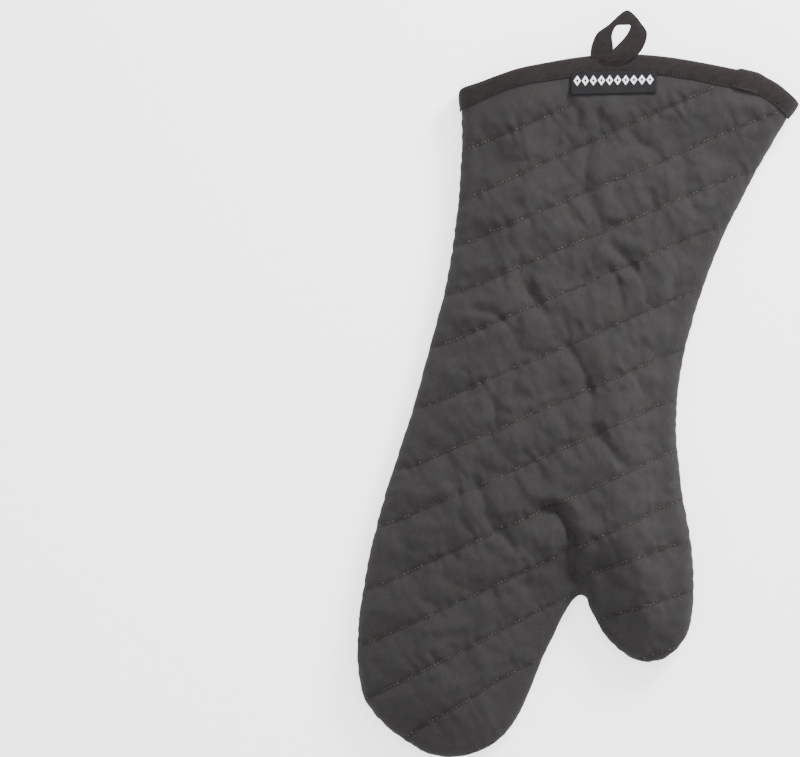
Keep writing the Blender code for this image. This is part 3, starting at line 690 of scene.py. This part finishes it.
def mouth_ring(shares, down, height):
    """Points once round the mouth: along the back from left to right, and back along the palm."""
    flat = cuff_point(shares, down)
    flat[[0, -1]] = to_line(flat[[0, -1]], LONG_SEAM)[1]
    sides = [on_panel(flat, True, height), on_panel(flat[::-1], False, np.asarray(height)[::-1])]
    return np.vstack([side[:-1] for side in sides])


def grid_faces(rows, columns, close_rows, close_columns):
    """The squares of a grid of rows by columns points, joined end to end where it says so."""
    number = np.arange(rows * columns).reshape(rows, columns)
    if close_rows:
        number = np.vstack([number, number[:1]])
    if close_columns:
        number = np.hstack([number, number[:, :1]])
    return np.stack([number[:-1, :-1], number[:-1, 1:], number[1:, 1:], number[1:, :-1]], -1).reshape(-1, 4)


def outward(obj):
    """Turns every face of a closed mesh so that it points out."""
    bpy.context.view_layer.objects.active = obj
    obj.select_set(True)
    bpy.ops.object.mode_set(mode="EDIT")
    bpy.ops.mesh.select_all(action="SELECT")
    bpy.ops.mesh.normals_make_consistent(inside=False)
    bpy.ops.object.mode_set(mode="OBJECT")
    obj.select_set(False)
    return obj


ring_turn = np.linspace(0, 1, 150)
shares = 0.5 - 0.5 * np.cos(np.pi * ring_turn) * (0.9 + 0.1 * np.cos(np.pi * ring_turn) ** 2)
ring_rows = []
for down, height in SECTION:
    outer_side = height > 0
    spot = np.column_stack([shares * 0.19, np.full(len(shares), down)])
    lap = smoothstep((shares - LAP[0] - 0.8 * down) / 0.004) * (1 - smoothstep((shares - LAP[1]) / 0.03))
    over_label = smoothstep((shares - LABEL_SPAN[0]) / 0.02) * smoothstep((LABEL_SPAN[1] - shares) / 0.02)
    lift = 0.0010 * lap + 0.00035 * over_label
    ripple = 0.00016 * waves(spot, 0.011, 31, 2) + lift
    edge = 0.00030 * waves(spot, 0.030, 32, 2)
    left_corner = 1 - smoothstep(shares / 0.14)
    stand_out = 0.0011 * lap + 0.0013 * left_corner
    reach_down = np.full(len(shares), down) + edge * (down > 0.006) - stand_out * (down < 0)
    ring_rows.append(mouth_ring(shares, reach_down, height * MM + ripple * outer_side))
tape = np.array(ring_rows)
binding = new_mesh("binding_tape", tape.reshape(-1, 3), grid_faces(len(SECTION), tape.shape[1], True, True))
outward(subdivide(binding))
BINDING_TREE = tree_of(binding)
print("binding:", len(binding.data.polygons), "squares")

# %% [markdown]
# ## Stitches
#
# A sewing machine leaves a row of short separate stitches, each lying on the cloth between two needle
# holes. Each is a slim grain that arches up and dips into the cloth at both ends. There are well over
# a thousand, so a grain has few faces, and all the grains of a row are worked out as one array.

# %% Stitches along a line
PITCH = 0.0021
SIDES = 6  # corners of a stitch's rings, and how many rings it has


def stitches(name, centres, ways, ups, length=0.00135, width=0.00065):
    """Grains: along v from 0 to 1 the radius is width/2 sqrt(sin(pi v)), and the middle line arches up by
    a fifth of a millimetre."""
    v = np.linspace(0.04, 0.96, SIDES)[:, None]
    angle = np.linspace(0, 2 * np.pi, SIDES, endpoint=False)[None]
    radius = width / 2 * np.sqrt(np.sin(np.pi * v))
    x = (v - 0.5) * length + 0 * angle
    y = radius * np.cos(angle)
    z = radius * np.sin(angle) + 0.0002 * (1 - (2 * v - 1) ** 2) - 0.00005
    grain = np.stack([x, y, z], -1).reshape(-1, 3)
    sides = np.cross(ups, ways)
    axes = np.stack([ways, sides, ups], 1)
    points = centres[:, None] + np.einsum("gk,nkc->ngc", grain, axes)
    offsets = len(grain) * np.arange(len(centres))[:, None, None]
    first = np.arange(SIDES)
    faces = (grid_faces(SIDES, SIDES, False, True)[None] + offsets).reshape(-1, 4)
    caps = (np.stack([first[::-1], first + len(grain) - SIDES])[None] + offsets).reshape(-1, SIDES)
    return outward(new_mesh(name, points.reshape(-1, 3), faces.tolist() + caps.tolist()))


def laid_on(tree, wanted):
    """The nearest points of a surface to the wanted ones, and the surface's normals there."""
    found = [tree.find_nearest(Vector(spot))[:2] for spot in wanted]
    return np.array([tuple(spot) for spot, _ in found]), np.array([tuple(up) for _, up in found])


def stitch_row(name, tree, wanted, width=0.0006):
    """Stitches from each wanted point's foot on the surface to the next."""
    spots, ups = laid_on(tree, wanted)
    middle, way = (spots[1:] + spots[:-1]) / 2, spots[1:] - spots[:-1]
    pitch = np.linalg.norm(way, axis=1)
    way = way / pitch[:, None]
    up = (ups[1:] + ups[:-1]) / 2
    up = up - way * (up * way).sum(1)[:, None]
    up = up / np.linalg.norm(up, axis=1)[:, None]
    return stitches(name, middle + up * 0.00010, way, up, width=width)


row_pieces = []
for side, tree in (("back", BACK_TREE), ("palm", PALM_TREE)):
    for number, row in enumerate(ROW_LINES):
        length = np.linalg.norm(row[1] - row[0])
        line = row[0] + (row[1] - row[0]) * np.linspace(0, 1, round(length / PITCH) + 1)[:, None]
        name = f"{side}_stitch_row_{number + 1:02d}"
        row_pieces.append(stitch_row(name, tree, puffed(line, side == "back")))
print(len(row_pieces), "rows of stitches")

even = np.linspace(0.012, 0.988, 80)
binding_stitches = []
for side, back_side in (("back", True), ("palm", False)):
    wanted = on_panel(cuff_point(even, BAND - 0.0013), back_side, 0.0012)
    binding_stitches.append(stitch_row(f"binding_stitches_{side}", BINDING_TREE, wanted, 0.0005))

# %% [markdown]
# ## The hanging loop
#
# One strip of folded bias tape. It leaves the cuff, turns over itself in a mitred peak and comes back
# down across its own start, so it shows its face on the left leg and its darker inner side on the
# right. The strip is drawn by its two edges, and its height above the cuff changes along the way.

# %% The loop
LOOP_AT = np.array((-0.0234, 0.1862))
LOOP_X = np.array((np.cos(np.radians(15.4)), np.sin(np.radians(15.4))))
LOOP_Y = np.array((-LOOP_X[1], LOOP_X[0]))
LOOP_THICKNESS = 0.0013
# outer edge, inner edge (x and y in millimetres), height of the outer and of the inner edge
LOOP_PATH = [
    ((-12.8, -8.6), (-2.0, -8.6), -1.3, -1.3), ((-13.4, -4), (-1.6, -4), -0.5, -0.5),
    ((-13.5, 0.6), (-1.2, 0.2), 0.8, 0.9), ((-12.4, 5.4), (-1.4, 4.0), 1.4, 2.1),
    ((-9.8, 10.4), (-1.9, 8.6), 1.4, 2.8), ((-3.6, 15.0), (-0.9, 12.2), 1.6, 2.6),
    ((1.9, 20.2), (0.7, 14.4), 1.6, 2.0), ((6.3, 22.9), (4.6, 14.7), 1.5, 1.8),
    ((10.4, 20.4), (8.2, 14.5), 1.7, 2.1), ((14.2, 15.6), (7.6, 12.0), 2.4, 2.2),
    ((17.1, 10.6), (5.6, 8.4), 4.0, 1.8), ((16.0, 4.4), (2.2, 4.6), 4.2, 2.0),
    ((12.6, -1.2), (-1.8, 1.0), 3.0, 2.2), ((6.2, -5.4), (-6.6, -2.4), 1.1, 1.3),
    ((0.6, -8.8), (-10.0, -6.8), -1.3, -0.9),
]
flat = smooth_line(np.array([(*a, *b, za, zb) for a, b, za, zb in LOOP_PATH]) * MM, 0.0009)
across = np.linspace(0, 1, 9)[None, :, None]
outer = np.column_stack([flat[:, :2], flat[:, 4]])[:, None]
inner = np.column_stack([flat[:, 2:4], flat[:, 5]])[:, None]
strip = outer * (1 - across) + inner * across
edge_seam = np.exp(-(((across[..., 0] - 0.13) / 0.05) ** 2))
strip[..., 2] += 0.00035 * np.sin(np.pi * across[..., 0]) - 0.0002 * edge_seam
loop_base = on_panel(LOOP_AT[None] - 0.004 * LOOP_Y, True, 0.0014)[0, 2]
loop_xy = LOOP_AT + strip[..., :1] * LOOP_X + strip[..., 1:2] * LOOP_Y
loop_points = np.concatenate([loop_xy, strip[..., 2:] + loop_base], -1)
loop = new_mesh("hanging_loop_strip", loop_points.reshape(-1, 3), grid_faces(len(flat), 9, False, False))
thick = loop.modifiers.new("thickness", "SOLIDIFY")
thick.thickness = LOOP_THICKNESS
thick.offset = 0
bevel = loop.modifiers.new("soft edge", "BEVEL")
bevel.width = 0.00045
bevel.segments = 2
bevel.limit_method = "ANGLE"
settle(loop)
outward(subdivide(loop))
print("loop:", len(loop.data.polygons), "squares")

tack_line = np.stack([np.linspace(-0.0115, 0.0065, 15), -0.0046 + 0.0005 * (-1.0) ** np.arange(15)], 1)
tack_plan = LOOP_AT + tack_line[:, :1] * LOOP_X + tack_line[:, 1:] * LOOP_Y
LOOP_TREE = tree_of(loop)
tack_height = []
for spot in tack_plan:
    hits = [tree.ray_cast(Vector((*spot, 0.1)), Vector((0, 0, -1)))[0] for tree in (LOOP_TREE, BINDING_TREE)]
    tack_height.append(max(hit.z for hit in hits if hit))
tack_spots = np.column_stack([tack_plan, tack_height])
tack_ways = np.diff(tack_spots, axis=0)
tack_ways /= np.linalg.norm(tack_ways, axis=1)[:, None]
tack_ups = np.array([0, 0, 1.0]) - tack_ways * tack_ways[:, 2:]
tack_ups /= np.linalg.norm(tack_ups, axis=1)[:, None]
tack_middles = (tack_spots[1:] + tack_spots[:-1]) / 2
tack = stitches("bar_tack_stitches", tack_middles, tack_ways, tack_ups, 0.0014, 0.0004)

# %% [markdown]
# ## The label
#
# A little woven ribbon, caught under the binding along its top edge and free on its other three. It
# carries a row of plain lozenges, woven in white. It lies on the cloth, and its lower edge lifts.

# %% The label
LABEL_TOP = [(-0.0440, 0.1693), (0.0012, 0.1822)]
LABEL_LOW = [(-0.0408, 0.1572), (0.0042, 0.1708)]
LABEL_THICKNESS = 0.00045
u, v = np.meshgrid(np.linspace(0, 1, 49), np.linspace(0, 1, 15), indexing="ij")
u, v = u.reshape(-1, 1), v.reshape(-1, 1)
top = np.array(LABEL_TOP[0]) * (1 - u) + np.array(LABEL_TOP[1]) * u
low = np.array(LABEL_LOW[0]) * (1 - u) + np.array(LABEL_LOW[1]) * u
label_plan = top * (1 - v) + low * v
lift = 0.00055 + (0.0007 + 0.0005 * np.sin(7 * u + 1)) * v**2 + 0.0001 * np.sin(40 * u)
label_points = on_panel(label_plan, True, lift)
under = [BACK_TREE.ray_cast(Vector((*spot[:2], 0.1)), Vector((0, 0, -1)))[0] for spot in label_points]
bare = np.array([spot.z if spot else 0.0 for spot in under])
label_points[:, 2] = np.maximum(label_points[:, 2], bare + 0.0008)
label = new_mesh("woven_label_ribbon", label_points, grid_faces(49, 15, False, False)[:, ::-1])
weave_map = label.data.uv_layers.new(name="weave")
corner = np.zeros(len(label.data.loops), np.int32)
label.data.loops.foreach_get("vertex_index", corner)
weave_map.data.foreach_set("uv", np.hstack([u, v])[corner].astype(np.float32).ravel())
thicken(label, LABEL_THICKNESS)
print("label:", len(label.data.polygons), "squares")

# %% [markdown]
# ## Finishes
#
# Every finish is cloth or thread, so they share their helpers: a value that varies over a surface is
# wrapped so that ordinary expressions make its nodes, and one method adds any other node. Patterns are
# in real millimetres, from the object's coordinates, or from the flat pattern where cloth turns a corner.

# %% Expressions that make shader nodes


class Varying:
    """A number or colour that varies over a surface, held as a node's output socket."""

    def __init__(self, finish, socket):
        self.finish = finish
        self.socket = socket

    def math(self, operation, a, b=None):
        """A maths node on one or two values."""
        return self.finish.node("Math", {"operation": operation}, {0: a} if b is None else {0: a, 1: b})

    def __add__(self, other):
        return self.math("ADD", self, other)

    def __sub__(self, other):
        return self.math("SUBTRACT", self, other)

    def __mul__(self, other):
        return self.math("MULTIPLY", self, other)

    def __truediv__(self, other):
        return self.math("DIVIDE", self, other)

    def __rsub__(self, other):
        return self.math("SUBTRACT", other, self)

    def __lt__(self, other):
        return self.math("LESS_THAN", self, other)

    def __gt__(self, other):
        return self.math("GREATER_THAN", self, other)

    __radd__ = __add__
    __rmul__ = __mul__

    def sin(self):
        return self.math("SINE", self)

    def abs(self):
        return self.math("ABSOLUTE", self)

    def fract(self):
        return self.math("FRACT", self)

    def clamped(self):
        """Held between 0 and 1."""
        return self.math("MINIMUM", self.math("MAXIMUM", self, 0.0), 1.0)


class Finish:
    """A material under construction, with its one Principled shader."""

    def __init__(self, name, roughness, sheen=0.0, sheen_tint=(1, 1, 1), specular=0.3):
        self.material = bpy.data.materials.new(name)
        self.material.use_nodes = True
        self.nodes, self.links = self.material.node_tree.nodes, self.material.node_tree.links
        self.shader = self.nodes["Principled BSDF"]
        self.set("Roughness", roughness)
        self.set("Sheen Weight", sheen)
        self.set("Sheen Tint", (*sheen_tint, 1))
        self.set("Sheen Roughness", 0.6)
        self.set("Specular IOR Level", specular)

    def set(self, name, value):
        """Sets a socket of the shader to a constant, or links a varying value to it."""
        if isinstance(value, Varying):
            self.links.new(value.socket, self.shader.inputs[name])
        else:
            self.shader.inputs[name].default_value = value

    def node(self, kind, settings=None, inputs=None, output=0):
        """Adds a node: its type, its settings, and the values or links of its sockets."""
        made = self.nodes.new("ShaderNode" + kind)
        for name, value in (settings or {}).items():
            setattr(made, name, value)
        for name, value in (inputs or {}).items():
            if isinstance(value, Varying):
                self.links.new(value.socket, made.inputs[name])
            else:
                made.inputs[name].default_value = value
        return Varying(self, made.outputs[output])

    def mix(self, share, a, b):
        """The colour a where share is 0, and b where it is 1."""
        a, b = [c if isinstance(c, Varying) else (*c, 1) for c in (a, b)]
        return self.node("Mix", {"data_type": "RGBA"}, {0: share, 6: a, 7: b}, 2)

    def noise(self, where, scale, detail=2.0, rough=0.5):
        """Smooth random values about 0.5."""
        inputs = {"Vector": where, "Scale": scale, "Detail": detail, "Roughness": rough}
        return self.node("TexNoise", {}, inputs)

    def stretched(self, where, size):
        """Coordinates scaled so that a pattern of size 1 measures size (three lengths)."""
        return self.node("Mapping", {}, {"Vector": where, "Scale": tuple(1 / s for s in size)})

    def bump(self, height, distance, strength=1.0):
        """Shades the surface as if it stood up by height times distance."""
        inputs = {"Height": height, "Distance": distance, "Strength": strength}
        self.set("Normal", self.node("Bump", {}, inputs))


def cloth_coordinates(finish, flat_pattern):
    """Where a point lies on the cloth: on the flat pattern if the mesh remembers it, or in the object."""
    if flat_pattern:
        return finish.node("Attribute", {"attribute_name": "plan"}, output=1)
    return finish.node("TexCoord", output=3)


def parts_of(finish, vector):
    """The x and y of a vector, as two varying numbers."""
    split = finish.node("SeparateXYZ", inputs={0: vector})
    return split, Varying(finish, split.socket.node.outputs[1])


def weave_height(finish, where, thread):
    """Plain weave: with threads p apart, sin(pi x / p) sin(pi y / p) makes the squares of a
    chessboard, where the one thread and then the other lies on top."""
    x, y = parts_of(finish, where)
    warp, weft = (x * (np.pi / thread)).sin(), (y * (np.pi / thread)).sin()
    return warp * weft * 0.5 + 0.5


# %% [markdown]
# The outer cloth is a charcoal plain weave, spun from fibres of slightly different dyes. Near by it is
# heathered, with bluish and brownish threads among the grey, and from further off it is faintly
# mottled. Along the rows of stitches it is painted darker: partly the needle holes, and partly painted
# shade in the dip of each row.

# %% The charcoal cloth
THREAD = 0.00055


def charcoal_cloth(name):
    """Warp and weft are noises stretched along the threads, and each tints the cloth a little."""
    made = Finish(name, 0.95, sheen=0.03, specular=0.1)
    where = cloth_coordinates(made, True)
    warp = made.noise(made.stretched(where, (0.0009, 0.009, 1)), 1.0, 2.0)
    weft = made.noise(made.stretched(where, (0.009, 0.0009, 1)), 1.0, 2.0)
    blotch = made.noise(made.stretched(where, (0.012, 0.012, 1)), 1.0, 3.0, 0.6)
    cool = ((warp - 0.5) * 5.0 + 0.5).clamped()
    warm = ((weft - 0.5) * 5.0 + 0.5).clamped()
    colour = made.mix(cool * 0.75, (0.0265, 0.0243, 0.0232), (0.0288, 0.0282, 0.0325))
    colour = made.mix(warm * 0.55, colour, (0.0322, 0.0287, 0.0262))
    colour = made.mix(((blotch - 0.5) * 2.2 + 0.5).clamped() * 0.35, colour, (0.0225, 0.0208, 0.0216))
    tint = made.noise(made.stretched(where, (0.008, 0.011, 1)), 1.0, 2.0)
    colour = made.mix(((tint - 0.55) * 6.0).clamped() * 0.6, colour, (0.0305, 0.0252, 0.0272))
    colour = made.mix(((0.45 - tint) * 6.0).clamped() * 0.6, colour, (0.0255, 0.0258, 0.0300))
    speck = made.noise(made.stretched(where, (0.0011, 0.0011, 1)), 1.0, 0.0)
    colour = made.mix(((speck - 0.66) * 9.0).clamped() * 0.30, colour, (0.048, 0.045, 0.047))
    # Painted shade: darker along the stitch rows, for the needle holes and for the shade in each row's dip.
    stitch_holes_and_shade = made.node("Attribute", {"attribute_name": "stitch_holes_and_shade"}, output=2)
    colour = made.mix(stitch_holes_and_shade * 0.3, colour, (0.0120, 0.0095, 0.0090))
    made.set("Base Color", colour)
    weave = weave_height(made, where, THREAD)
    made.bump(weave * 0.7 + warp * 0.5 + weft * 0.5, 0.00022, 0.7)
    return made.material


# %% Bias tape, lining, filling, thread and label


def bias_tape(name):
    """Brownish black cotton, cut on the bias, so its weave runs across at 45 degrees."""
    made = Finish(name, 0.92, sheen=0.03, specular=0.12)
    place = cloth_coordinates(made, False)
    turned = made.node("Mapping", {}, {"Vector": place, "Rotation": (0, 0, np.pi / 4)})
    slub = made.noise(made.stretched(turned, (0.0008, 0.006, 0.0008)), 1.0, 2.0)
    blotch = made.noise(turned, 160.0, 2.0)
    colour = made.mix(((slub - 0.5) * 4 + 0.5).clamped(), (0.0145, 0.0118, 0.0120), (0.0195, 0.0165, 0.0168))
    colour = made.mix(((blotch - 0.5) * 3 + 0.5).clamped() * 0.4, colour, (0.0200, 0.0150, 0.0145))
    made.set("Base Color", colour)
    made.bump(weave_height(made, turned, 0.00045) + slub, 0.00016, 0.6)
    return made.material


def terry(name):
    """Unbleached cotton terry: short loops all over, with painted light on their tips and painted shade
    between them.
    """
    made = Finish(name, 0.96, sheen=0.35, specular=0.1)
    where = cloth_coordinates(made, False)
    loops = made.node("TexVoronoi", {"feature": "F1"}, {"Vector": where, "Scale": 620.0, "Randomness": 1.0})
    fuzz = made.noise(where, 900.0, 3.0)
    # Painted light and shade: lighter at each loop's middle, where the bump is highest, darker in the gaps
    # between loops.
    colour = made.mix((loops * 1.3).clamped(), (0.80, 0.73, 0.62), (0.52, 0.45, 0.36))
    made.set("Base Color", made.mix(((fuzz - 0.5) * 3 + 0.5).clamped() * 0.3, colour, (0.88, 0.83, 0.74)))
    made.bump(1.0 - loops + fuzz * 0.4, 0.0009, 0.9)
    return made.material


def filling(name):
    """Needled cotton, matted and off-white."""
    made = Finish(name, 0.97, specular=0.1)
    where = cloth_coordinates(made, False)
    fibres = made.noise(made.stretched(where, (0.0004, 0.004, 0.002)), 1.0, 4.0, 0.7)
    made.set("Base Color", made.mix(fibres, (0.62, 0.60, 0.55), (0.82, 0.80, 0.75)))
    made.bump(fibres, 0.0004, 0.8)
    return made.material


def thread(name, light, dark):
    """Two-ply thread: the plies wind round it, so light and dark alternate along it on a slant."""
    made = Finish(name, 0.85, sheen=0.02, specular=0.1)
    x, y = parts_of(made, cloth_coordinates(made, False))
    ply = ((x + y) * (2 * np.pi / 0.00045)).sin() * 0.5 + 0.5
    patch = made.noise(cloth_coordinates(made, False), 260.0, 1.0)
    colour = made.mix(((patch - 0.5) * 5 + 0.5).clamped(), dark, light)
    made.set("Base Color", made.mix(ply * 0.35, colour, dark))
    made.bump(ply, 0.00006, 0.5)
    return made.material


def label_cloth(name):
    """A fine dark ribbon with a row of white lozenges, each |x| + |y| < r in its own cell, with open
    middles. The white shows single picks, as weaving does."""
    made = Finish(name, 0.85, sheen=0.02, specular=0.12)
    u, v = parts_of(made, made.node("UVMap", {"uv_map": "weave"}))
    inside_row = (u > 0.03) * (u < 0.97)
    cell = (((u - 0.03) / 0.094).fract() - 0.5).abs()
    centre = (v - 0.39).abs()
    lozenge = ((cell * 1.15 + centre * 2.25) < 0.52) * inside_row
    eye = ((cell * 1.15 + centre * 2.25) < 0.20) * inside_row
    mark = (lozenge - eye).clamped()
    picks = ((v * 46.0) * np.pi).sin() * 0.5 + 0.5
    grain = made.noise(made.stretched(cloth_coordinates(made, False), (0.0005, 0.0005, 0.0005)), 1.0, 1.0)
    ground = made.mix(grain, (0.0095, 0.0091, 0.0102), (0.0145, 0.0140, 0.0157))
    white = made.mix(picks * 0.5, (0.86, 0.85, 0.89), (0.58, 0.57, 0.62))
    made.set("Base Color", made.mix(mark, ground, white))
    made.bump(picks * 0.5 + mark, 0.00008, 0.6)
    return made.material


CHARCOAL = charcoal_cloth("charcoal_plain_weave")
TAPE_FINISH = bias_tape("brown_black_bias_tape")
TERRY = terry("cream_terry")
FILLING = filling("needled_filling")
QUILT_THREAD = thread("brown_quilting_thread", (0.105, 0.082, 0.070), (0.020, 0.015, 0.014))
DARK_THREAD = thread("dark_binding_thread", (0.022, 0.017, 0.016), (0.006, 0.005, 0.005))
TACK_THREAD = thread("brown_tack_thread", (0.040, 0.026, 0.022), (0.012, 0.009, 0.009))
LABEL_FINISH = label_cloth("dark_woven_ribbon")

# %% [markdown]
# ## Fastening the pieces to the mechanical model
#
# The hand, the thumb, the loop and the label each move. The binding, its stitches and the bar tack
# are attached to the hand. The panels, their inner layers, the rows, the loop and the label are baked
# where they were made.


def dress(obj, finish):
    """Gives the object one finish."""
    obj.data.materials.clear()
    obj.data.materials.append(finish)
    return obj


def across_thumb(obj):
    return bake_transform(obj)


for side, cloth, pad, lining in (("back", back, back_batting, back_lining),
                                 ("palm", palm, palm_batting, palm_lining)):
    for piece, finish, slot, layer in ((cloth, CHARCOAL, "outer_cloth", "shell"),
                                       (pad, FILLING, "batting", "batting"),
                                       (lining, TERRY, "lining", "lining")):
        across_thumb(dress(piece, finish))
        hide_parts(f"{side}_{layer}", f"thumb_{side}_{layer}")

dress(binding, TAPE_FINISH)
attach(binding, "hand")
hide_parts("cuff_binding")
for piece in binding_stitches:
    dress(piece, DARK_THREAD)
    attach(piece, "hand")
    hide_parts("binding_thread")

hand_rows = sorted(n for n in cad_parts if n.startswith("quilting_row"))
thumb_rows = sorted(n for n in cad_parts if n.startswith("thumb_quilting_row"))
for number, piece in enumerate(row_pieces):
    dress(piece, QUILT_THREAD)
    across_thumb(piece)
    stands_for = hand_rows + thumb_rows
    if number < len(ROW_LINES):
        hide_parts(stands_for[min(number, len(stands_for) - 1)])

for piece, finish, slot in ((loop, TAPE_FINISH, "bias_tape"), (tack, TACK_THREAD, "thread")):
    dress(piece, finish)
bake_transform(loop)
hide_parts("hanging_loop", "loop_tails")
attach(tack, "hand")
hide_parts("bar_tack")

dress(label, LABEL_FINISH)
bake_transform(label)
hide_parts("woven_label")

# %% [markdown]
# ## Floor, light and camera
#
# The mitt lies on a plain white floor under a large soft light above and to the upper right, with weak
# fill all round, so that its shadows are soft. The camera looks straight down, turned so that the mitt
# leans to the right, and is far enough off to keep the outline nearly square on.

# %% Floor
bpy.ops.mesh.primitive_plane_add(size=6, location=(0, 0, -0.0004))
floor = bpy.context.object
floor.name = "floor"
pale = Finish("white_floor", 0.9, specular=0.0)
pale.set("Base Color", (0.93, 0.93, 0.93, 1))
pale.set("Emission Color", (1, 1, 1, 1))
pale.set("Emission Strength", 1.6)
floor.data.materials.append(pale.material)

# %% Lights and camera
VIEW_UP = Vector((-0.2656, 0.9641, 0))
VIEW_RIGHT = Vector((0.9641, 0.2656, 0))
VIEW_AT = Vector((-0.0895, -0.0171, 0.0))


def soft_light(name, towards, distance, size, watts):
    """A square area light that faces the mitt from the direction towards."""
    data = bpy.data.lights.new(name, "AREA")
    data.size = size
    data.energy = watts
    light = bpy.data.objects.new(name, data)
    bpy.context.scene.collection.objects.link(light)
    light.location = VIEW_AT + Vector(towards).normalized() * distance
    light.rotation_euler = Vector(towards).to_track_quat("Z", "Y").to_euler()


up_right = VIEW_UP * 0.9 + VIEW_RIGHT * 0.75
soft_light("key", up_right + Vector((0, 0, 0.75)), 1.15, 0.4, 24)
soft_light("overhead", Vector((0.05, 0.1, 1)), 1.9, 1.6, 34)
soft_light("fill", -up_right + Vector((0, 0, 1.2)), 2.0, 1.4, 12)
world = bpy.data.worlds.new("studio")
bpy.context.scene.world = world
world.use_nodes = True
world.node_tree.nodes["Background"].inputs[0].default_value = (1, 1, 1, 1)
world.node_tree.nodes["Background"].inputs[1].default_value = 0.55

camera_data = bpy.data.cameras.new("camera")
camera = bpy.data.objects.new("camera", camera_data)
bpy.context.scene.collection.objects.link(camera)
VIEW_DISTANCE = 3.2
FRAME_WIDTH = 0.440
camera_data.sensor_width = 36
camera_data.lens = 36 * (VIEW_DISTANCE - 0.012) / FRAME_WIDTH
camera.location = VIEW_AT + Vector((0, 0, VIEW_DISTANCE))
camera.rotation_euler = (0, 0, np.arctan2(VIEW_RIGHT.y, VIEW_RIGHT.x))
bpy.context.scene.camera = camera
